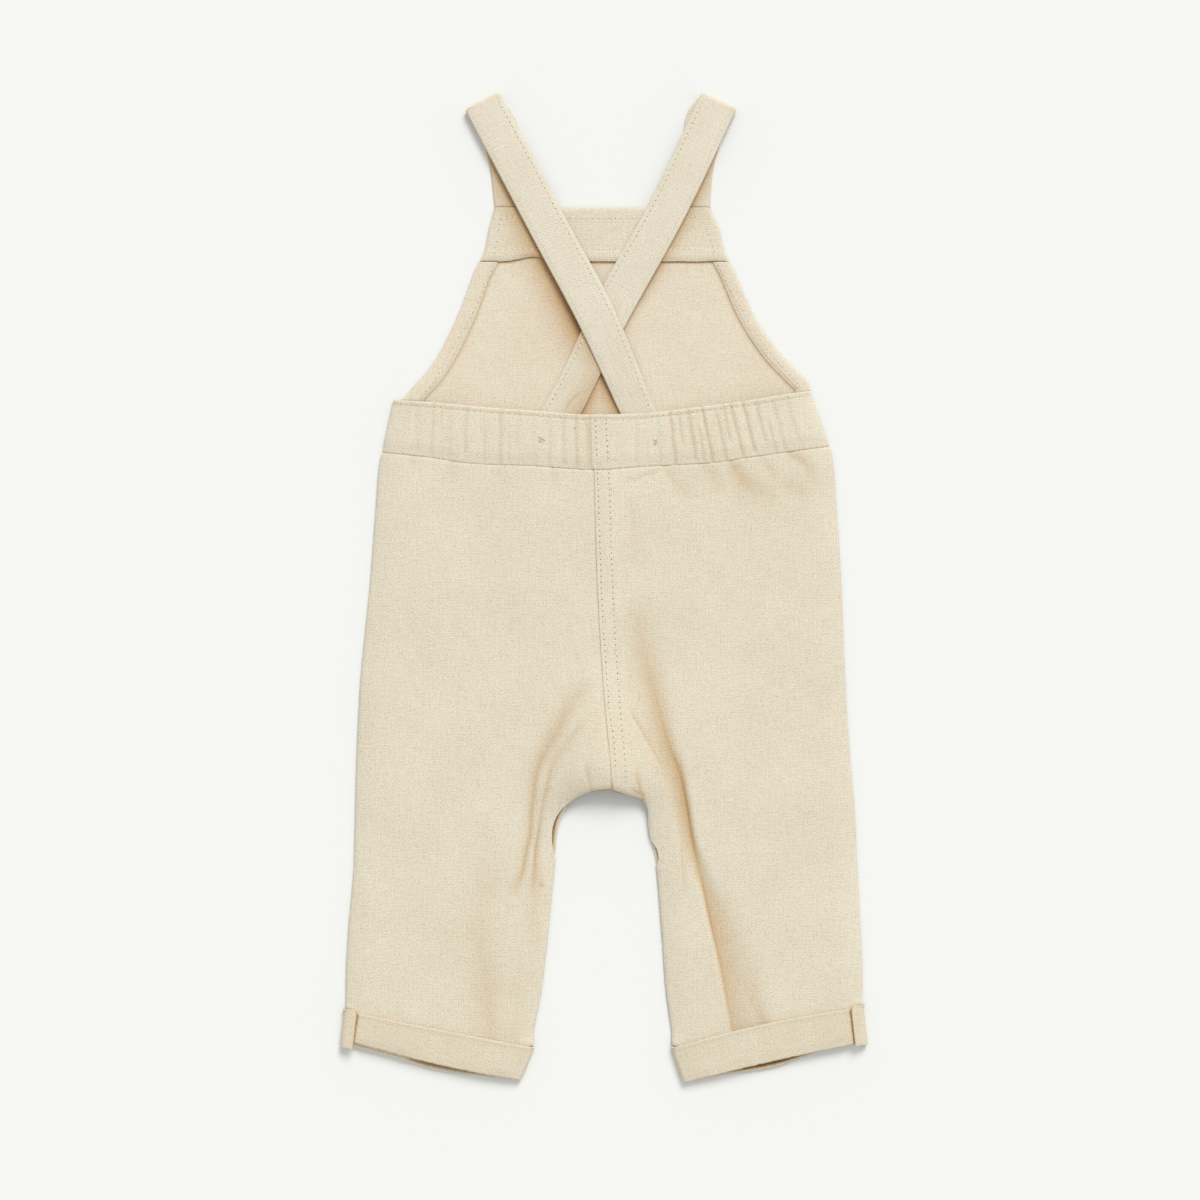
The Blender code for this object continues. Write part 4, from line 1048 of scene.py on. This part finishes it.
def cuffRing(leg, sign, row, downBack, downFront, out, shut):
    # points round a cuff in the middle of its wall: over the back, round the inner side, under the
    # front and round the outer side; out moves them off the wall, and shut closes the front and the
    # back up where the cuff doesn't gape
    across = marks(100.0, 1.15, (0.4, 1.2, 2.2, 3.4)) / 100
    radius = cuff["turn"] + out
    level = np.full(len(across), float(row))
    x, y = legPlace(leg, across, level)
    under, _ = backHeight(x, y, level)
    slotStart, slotEnd = cuff["slots"][sign]
    closed = 1 - 0.65 * ease((x - slotStart) / 8.0) * ease((slotEnd - x) / 8.0)
    shut = shut * closed * (under - 1.1)
    onBack = under + cloth["layer"] + cuff["slack"] + cloth["wall"] / 2 + out
    backs = np.stack((x, y - downBack(across), onBack - cuff["shut"][0] * shut), axis=1)
    onFloor = cloth["wall"] / 2 - out + cuff["shut"][1] * shut
    fronts = np.stack((x, y - downFront(across), onFloor), axis=1)
    angles = np.linspace(0, math.pi, 12)[1:-1]
    turns = []
    for end, way in ((-1, -sign), (0, sign)):
        share = (angles / math.pi)[:, None]
        turn = backs[end] * (1 - share) + fronts[end] * share
        turn[:, 0] = x[end] + way * radius * np.sin(angles)
        turn[:, 2] = cloth["wall"] / 2 + cuff["turn"] + radius * np.cos(angles)
        turns.append(turn)
    return np.vstack((backs, turns[0], fronts[::-1], turns[1][::-1]))


cuffTab = {
    "length": 22.0,
    "reach": 3.5,           # how far it comes over the back
    "wrap": math.radians(125),      # how far it goes round the side
    "above": 1.3,           # its ends stand this far past the cuff's edges
    "belowLeft": 5.4,
    "belowRight": 2.4,
}


def makeCuff(name, leg, sign, dropColumn, seed):
    def frontDrop(across):
        return through(cuffFrontDrop[:, 0], cuffFrontDrop[:, dropColumn], across)

    rings = []
    places = marks(cuff["depth"], 1.0)[:-4] / cuff["depth"]
    curl = cuff["curl"]
    straight = cuff["overhang"] - curl - cloth["wall"] / 2
    for place in places:      # down the outside, the fold drawn level with the hem as it nears it
        near = ease((place - 0.35) / 0.65)
        rings.append((cuffTop + place, straight * near, near, 0.0, 0.2 * ease((place - 0.8) / 0.2)))
    for angle in np.linspace(0, math.pi, 9):
        rings.append((hemRow, straight + curl * math.sin(angle), 1.0, -curl * (1 - math.cos(angle)),
                      0.2 + 0.8 * math.sin(angle / 2)))
    for back in (0.35, 0.7, 0.9, 1.0):
        rings.append((hemRow, straight - 0.6 * back, 1 - back, -2 * curl, 1.0))

    def ragged(across, more):
        return 0.3 * ripple(across * 110, 0 * across, 3.0, seed + more)

    middle = np.stack([
        cuffRing(leg, sign, row, lambda a: down + near * ragged(a, 0.0),
                 lambda a: down + near * (frontDrop(a) + ragged(a, 5.0)), out, shut)
        for row, down, near, out, shut in rings])
    count = middle.shape[1]
    runs = np.linalg.norm(np.diff(middle, axis=0), axis=2).mean(axis=1)
    rowPlaces = summed(runs)
    rim = bell(rowPlaces - 1.0, 0.9)[:, None]
    up = np.zeros((1, count))
    up[0, :count // 2] = 1
    middle[..., 2] += cuff["topRidge"] * rim * up * ease((middle[..., 2] - 4.0) / 1.0)
    fromEnd = (rowPlaces[-1] - rowPlaces)[:, None]
    half = rounded(rowPlaces, None, cloth["wall"]) * (1 - cuff["foldThin"] * ease((7.2 - fromEnd) / 3.0))
    around = np.linalg.norm(np.diff(np.vstack((middle[0], middle[0, :1])), axis=0), axis=1)
    lengths = summed(around)
    cut = gridCut(lengths + seed, -rowPlaces)
    onFront = np.arange(count) >= count // 2
    # painted shade inside the cuff's fold, deepest where it gapes
    inner = ease((1.5 - fromEnd) / 0.6)
    slotStart, slotEnd = cuff["slots"][sign]
    slot = ease((middle[..., 0] - slotStart) / 8.0) * ease((slotEnd - middle[..., 0]) / 8.0)
    shade = np.maximum(cuff["dim"], inner * (0.3 + 1.6 * slot))
    # painted shadow beside the tab's edge, uneven along it
    fromTab = np.abs(middle[..., 0] - middle[:, :1, 0]) - cuffTab["reach"]
    uneven = 1.6 + 0.7 * ripple(middle[..., 1], 0 * middle[..., 1], 2.5, seed)
    beside = uneven * bell(fromTab - 0.2, 0.6) * ~onFront
    clothShell(name, middle, half, cut, faceTwill, np.maximum(shade, beside), closed=True)


makeCuff("cuff_left", legLeft, -1, 1, 10.0)
makeCuff("cuff_right", legRight, 1, 2, 30.0)


def makeTab(name, leg, sign, below):
    radius = cuff["turn"] + cloth["layer"]
    arc = radius * cuffTab["wrap"]
    columnPlaces = marks(cuffTab["reach"] + arc, 0.6)
    rowPlaces = marks(cuffTab["length"], 0.8)
    around, up = np.meshgrid(columnPlaces - cuffTab["reach"], rowPlaces / cuffTab["length"])
    row = hemRow - up
    rise = np.interp(up, (0, 0.5, 1), (-below, 0.0, cuffTab["above"]))
    sideX, sideY = legPlace(leg, np.zeros(up.shape), row)
    angle = np.maximum(around, 0) / radius
    x = sideX + sign * (radius * np.sin(angle) + np.minimum(around, 0))
    innerY = legPlace(leg, np.full(up.shape, 0.1), row)[1]
    y = sideY + rise + (innerY - sideY) * np.maximum(-around, 0) / 11.0
    under, _ = backHeight(x, y - rise, row)
    onBack = under + cloth["layer"] * 2 + cuff["slack"] + cloth["wall"] / 2
    z = np.where(around > 0, cloth["wall"] / 2 + cuff["turn"] + radius * np.cos(angle), onBack)
    middle = np.stack((x, y, z), axis=2)
    cut = gridCut(columnPlaces, rowPlaces)
    # painted shade along the tab's inner edge and its top end
    shade = 0.9 * bell(columnPlaces, 0.4)[None, :] + 0.4 * bell(cuffTab["length"] - rowPlaces, 0.4)[:, None]
    half = rounded(rowPlaces, columnPlaces, cloth["wall"])
    clothShell(name, middle, half, cut, faceTwill, np.clip(shade, cuff["dim"], 1.5))


makeTab("cuff_tab_left", legLeft, -1, cuffTab["belowLeft"])
makeTab("cuff_tab_right", legRight, 1, cuffTab["belowRight"])

stitch = {
    "pitch": 3.15,
    "length": 2.25,
    "radius": 0.19,
    # the dark spot at each needle hole is painted shade
    "hole": 0.46,           # radius of the dark spot at a needle hole
}


def onCloth(name, x, y):
    # the top of a piece at a place, and which way it faces
    spot, normal, _, _ = pieces[name]["tree"].ray_cast(Vector((x, y, 60.0)), Vector((0, 0, -1)))
    if spot is None:
        return None
    return np.array(spot), np.array(normal)


def addThread(name, ends, radius, bow, material):
    # one visible length of thread between two points on the cloth, sunk at both ends
    start, finish = ends
    along = finish[0] - start[0]
    up = start[1] + finish[1]
    up /= np.linalg.norm(up)
    beside = np.cross(up, along)
    beside /= np.linalg.norm(beside)
    rings = []
    for t in (0.0, 0.12, 0.35, 0.65, 0.88, 1.0):
        lift = bow * math.sin(math.pi * t) - 0.12 * (t in (0.0, 1.0))
        centre = start[0] + along * t + up * lift
        size = radius * (0.45 if t in (0.0, 1.0) else 0.85 if t in (0.12, 0.88) else 1.0)
        rings.append([centre + size * (math.cos(a) * beside + math.sin(a) * up)
                      for a in np.linspace(0, 2 * math.pi, 7)[:-1]])
    pieces[name]["stitches"].append((rings, material))


def addHole(name, spot, normal, size):
    # a small dark disc of painted shade at a needle hole
    beside = np.cross(normal, (0.0, 1.0, 0.0))
    beside /= np.linalg.norm(beside)
    other = np.cross(normal, beside)
    angles = np.linspace(0, 2 * math.pi, 9)[:-1]
    rings = [[spot + lift * normal + share * size * (math.cos(a) * beside + math.sin(a) * other)
              for a in angles] for lift, share in ((-0.05, 1.0), (0.03, 0.6))]
    pieces[name]["stitches"].append((rings, needleHoleShade))


def sewRow(name, line, strength=1.0, thread=sewingThread, pitch=None):
    # a row of machine stitches laid along a line on one piece
    pitch = pitch or stitch["pitch"]
    fine = pathThrough(line, 0.2)
    lengths = summed(np.hypot(*np.diff(fine[:, :2], axis=0).T))
    count = int(lengths[-1] / pitch)
    gap = (pitch - stitch["length"]) / 2
    for number in range(count):
        start = number * pitch + 0.25 * noise.noise((number * 0.7, fine[0][0], 1.0))
        spots = [onCloth(name, *(np.interp(start + s, lengths, column) for column in fine.T[:2]))
                 for s in (0.0, gap, pitch - gap)]
        if any(s is None for s in spots):
            continue
        uneven = 1 + 0.25 * noise.noise((number * 1.3, fine[0][1], 7.0))
        addHole(name, *spots[0], stitch["hole"] * strength * uneven)
        addThread(name, spots[1:], stitch["radius"] * strength, 0.08, thread)


def joinStitches():
    for name, made in pieces.items():
        if not made["stitches"]:
            continue
        points, faces, kinds, materials = [], [], [], []
        for rings, material in made["stitches"]:
            if material not in materials:
                materials.append(material)
            base, size = len(points), len(rings[0])
            points += sum(rings, [])
            for low in range(base, base + (len(rings) - 1) * size, size):
                for k in range(size):
                    n = (k + 1) % size
                    faces.append((low + k, low + n, low + size + n, low + size + k))
            faces.append(tuple(base + (len(rings) - 1) * size + k for k in range(size)))
            faces.append(tuple(base + k for k in reversed(range(size))))
            kinds += [materials.index(material)] * (len(faces) - len(kinds))
        mesh = bpy.data.meshes.new(name + "_stitches")
        mesh.from_pydata((np.array(points) * millimetre).tolist(), [], faces)
        mesh.polygons.foreach_set("use_smooth", np.ones(len(faces), bool))
        for material in materials:
            mesh.materials.append(material)
        mesh.polygons.foreach_set("material_index", np.array(kinds, np.int32))
        piece = addObject(name + "_stitches", mesh)
        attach(piece, "root")
        made["thread"] = piece
        print("sewed", name, "with", len(made["stitches"]), "threads and holes")


seamSplit = 64.0       # the rows of the felled seam pass from the waistband to the leg here
for line in seamRows:
    path = pathThrough(line, 1.0)
    sewRow("back_waistband", path[path[:, 1] > seamSplit + 2.2], 1.1)
    sewRow("back_leg_right", path[path[:, 1] < seamSplit - 0.8], 1.1)
sewRow("back_waistband", ((-115.0, 100.9), (-99.0, 99.6), (-67.3, 96.5), (-41.0, 94.7), (-12.1, 92.5),
                          (8.2, 91.9), (31.1, 94.3), (59.2, 97.4), (85.5, 100.9), (101.2, 104.0),
                          (111.1, 105.0)), 0.75)
sewRow("bib_facing", ((-56.7, 202.7), (-46.2, 203.8), (0, 203.0), (47.3, 203.8), (54.5, 202.7)), 0.8)
sewRow("bib_facing", ((-60.0, 186.2), (-24.2, 186.2), (0, 186.2), (30.8, 186.2), (59.4, 185.6)), 0.8)
armLeft = pathThrough(((-57.2, 202.7), (-58.9, 191.1), (-60.5, 181.2), (-61.1, 176.8), (-64.9, 166.4),
                       (-71.5, 152.6), (-78.1, 140.5), (-84.7, 129.5), (-94.6, 111.9), (-102.3, 104.2)), 1.0)
armRight = pathThrough(((55.6, 199.9), (58.3, 192.2), (60.5, 185.1), (62.7, 177.9), (68.2, 165.8),
                        (74.2, 155.9), (80.3, 144.9), (85.2, 137.2), (95.7, 124.0), (109.5, 109.2)), 1.0)
for line, hem in ((armLeft, "armhole_hem_left"), (armRight, "armhole_hem_right")):
    sewRow("bib_facing", line[line[:, 1] > facing["edge"] + 1.0], 0.8)
    sewRow(hem, line[line[:, 1] < armholeHem["top"] - 1.0], 0.8)
for name in ("strap_left", "strap_right"):
    spine, sides = pieces[name]["spine"]
    for sign in (-1, 1):
        offset = sign * (spine[:, 3:] / 2 - strap["rowInset"])
        line = spine[:, :2] + sides * offset
        sewRow(name, line[3:], 0.95 if (name == "strap_left") == (sign > 0) else 0.5)

# Small tacks: where each zigzag at the ends of the facing's edge runs, in x.
for start, end in ((-68.5, -57.5), (58.5, 67.5)):
    turns = np.arange(start, end, 0.8)
    for number, (here, after) in enumerate(zip(turns[:-1], turns[1:])):
        first, second = (180.6, 179.6) if number % 2 else (179.6, 180.6)
        spots = [onCloth("bib_facing", here, first), onCloth("bib_facing", after, second)]
        if all(spot is not None for spot in spots):
            addThread("bib_facing", spots, 0.25, 0.15, tackThread)
# Scribbles of thread on the waistband, each as points from its own middle.
scribbles = (
    (-34.1, 81.1, ((-2.2, 1.2), (-0.6, 1.6), (0.8, 0.2), (-0.4, -1.4), (-1.8, -0.6), (0.4, 0.9),
                   (2.2, -0.9))),
    (28.1, 79.5, ((-1.2, 1.4), (0.6, 1.5), (1.3, 0.2), (0.2, -1.2), (-0.9, -0.2), (0.9, 0.6))),
)
for middleX, middleY, turns in scribbles:
    spots = [onCloth("back_waistband", middleX + dx, middleY + dy) for dx, dy in turns]
    for pair in zip(spots[:-1], spots[1:]):
        addThread("back_waistband", pair, 0.3, 0.2, tackThread)
# two more small dark spots, drawn as needle holes with the same painted shade
addHole("back_waistband", *onCloth("back_waistband", -16.0, 87.4), 0.55)
addHole("back_waistband", *onCloth("back_waistband", 28.3, 79.9), 0.6)
joinStitches()


def makeStudio():
    scene = bpy.context.scene
    scene.view_settings.view_transform = "Standard"
    mesh = bpy.data.meshes.new("paper_floor")
    size, level = 3.0, -0.00005
    corners = [(x * size, y * size, level) for x, y in ((-1, -1), (1, -1), (1, 1), (-1, 1))]
    mesh.from_pydata(corners, [], [(0, 1, 2, 3)])
    floor = addObject("paper_floor", mesh)
    paper, _, shader = newMaterial("matt_paper", 1.0, 0.0)       # plain studio paper, no texture that shows
    shader.inputs["Base Color"].default_value = toLinear(studio["paper"])
    mesh.materials.append(paper)

    world = bpy.data.worlds.new("studio")
    world.use_nodes = True
    background = world.node_tree.nodes["Background"]
    background.inputs["Color"].default_value = toLinear(studio["skyColour"])
    background.inputs["Strength"].default_value = studio["sky"]
    scene.world = world

    light = bpy.data.lights.new("softbox", "SUN")
    light.energy = studio["key"]
    light.angle = math.radians(studio["keyAngle"])
    light.color = toLinear(studio["keyColour"])[:3]
    lamp = addObject("softbox", light)
    lamp.rotation_euler = (math.radians(studio["keyElevation"] - 90), 0, math.radians(-studio["keyAzimuth"]))

    lens = bpy.data.cameras.new("overhead")
    lens.lens, lens.sensor_width = 85, 36
    camera = addObject("overhead", lens)
    distance = studio["frame"] / 2 / (18 / 85)
    camera.location = (studio["centre"][0] * millimetre, studio["centre"][1] * millimetre,
                       (distance + 3.0) * millimetre)
    scene.camera = camera
    return floor


studio = {
    "paper": "#ECEDEA",
    "sky": 0.66,
    "skyColour": "#FFFFFF",
    "key": 2.02,
    "keyColour": "#FFFFFF",
    "keyAngle": 28.0,       # how wide the softbox looks from the cloth, in degrees
    "keyElevation": 43.0,
    "keyAzimuth": 19.0,     # from the picture's top towards its right
    "frame": 660.0,         # width of cloth that the picture takes in
    "centre": (-2.2, -6.9),
}
floor = makeStudio()
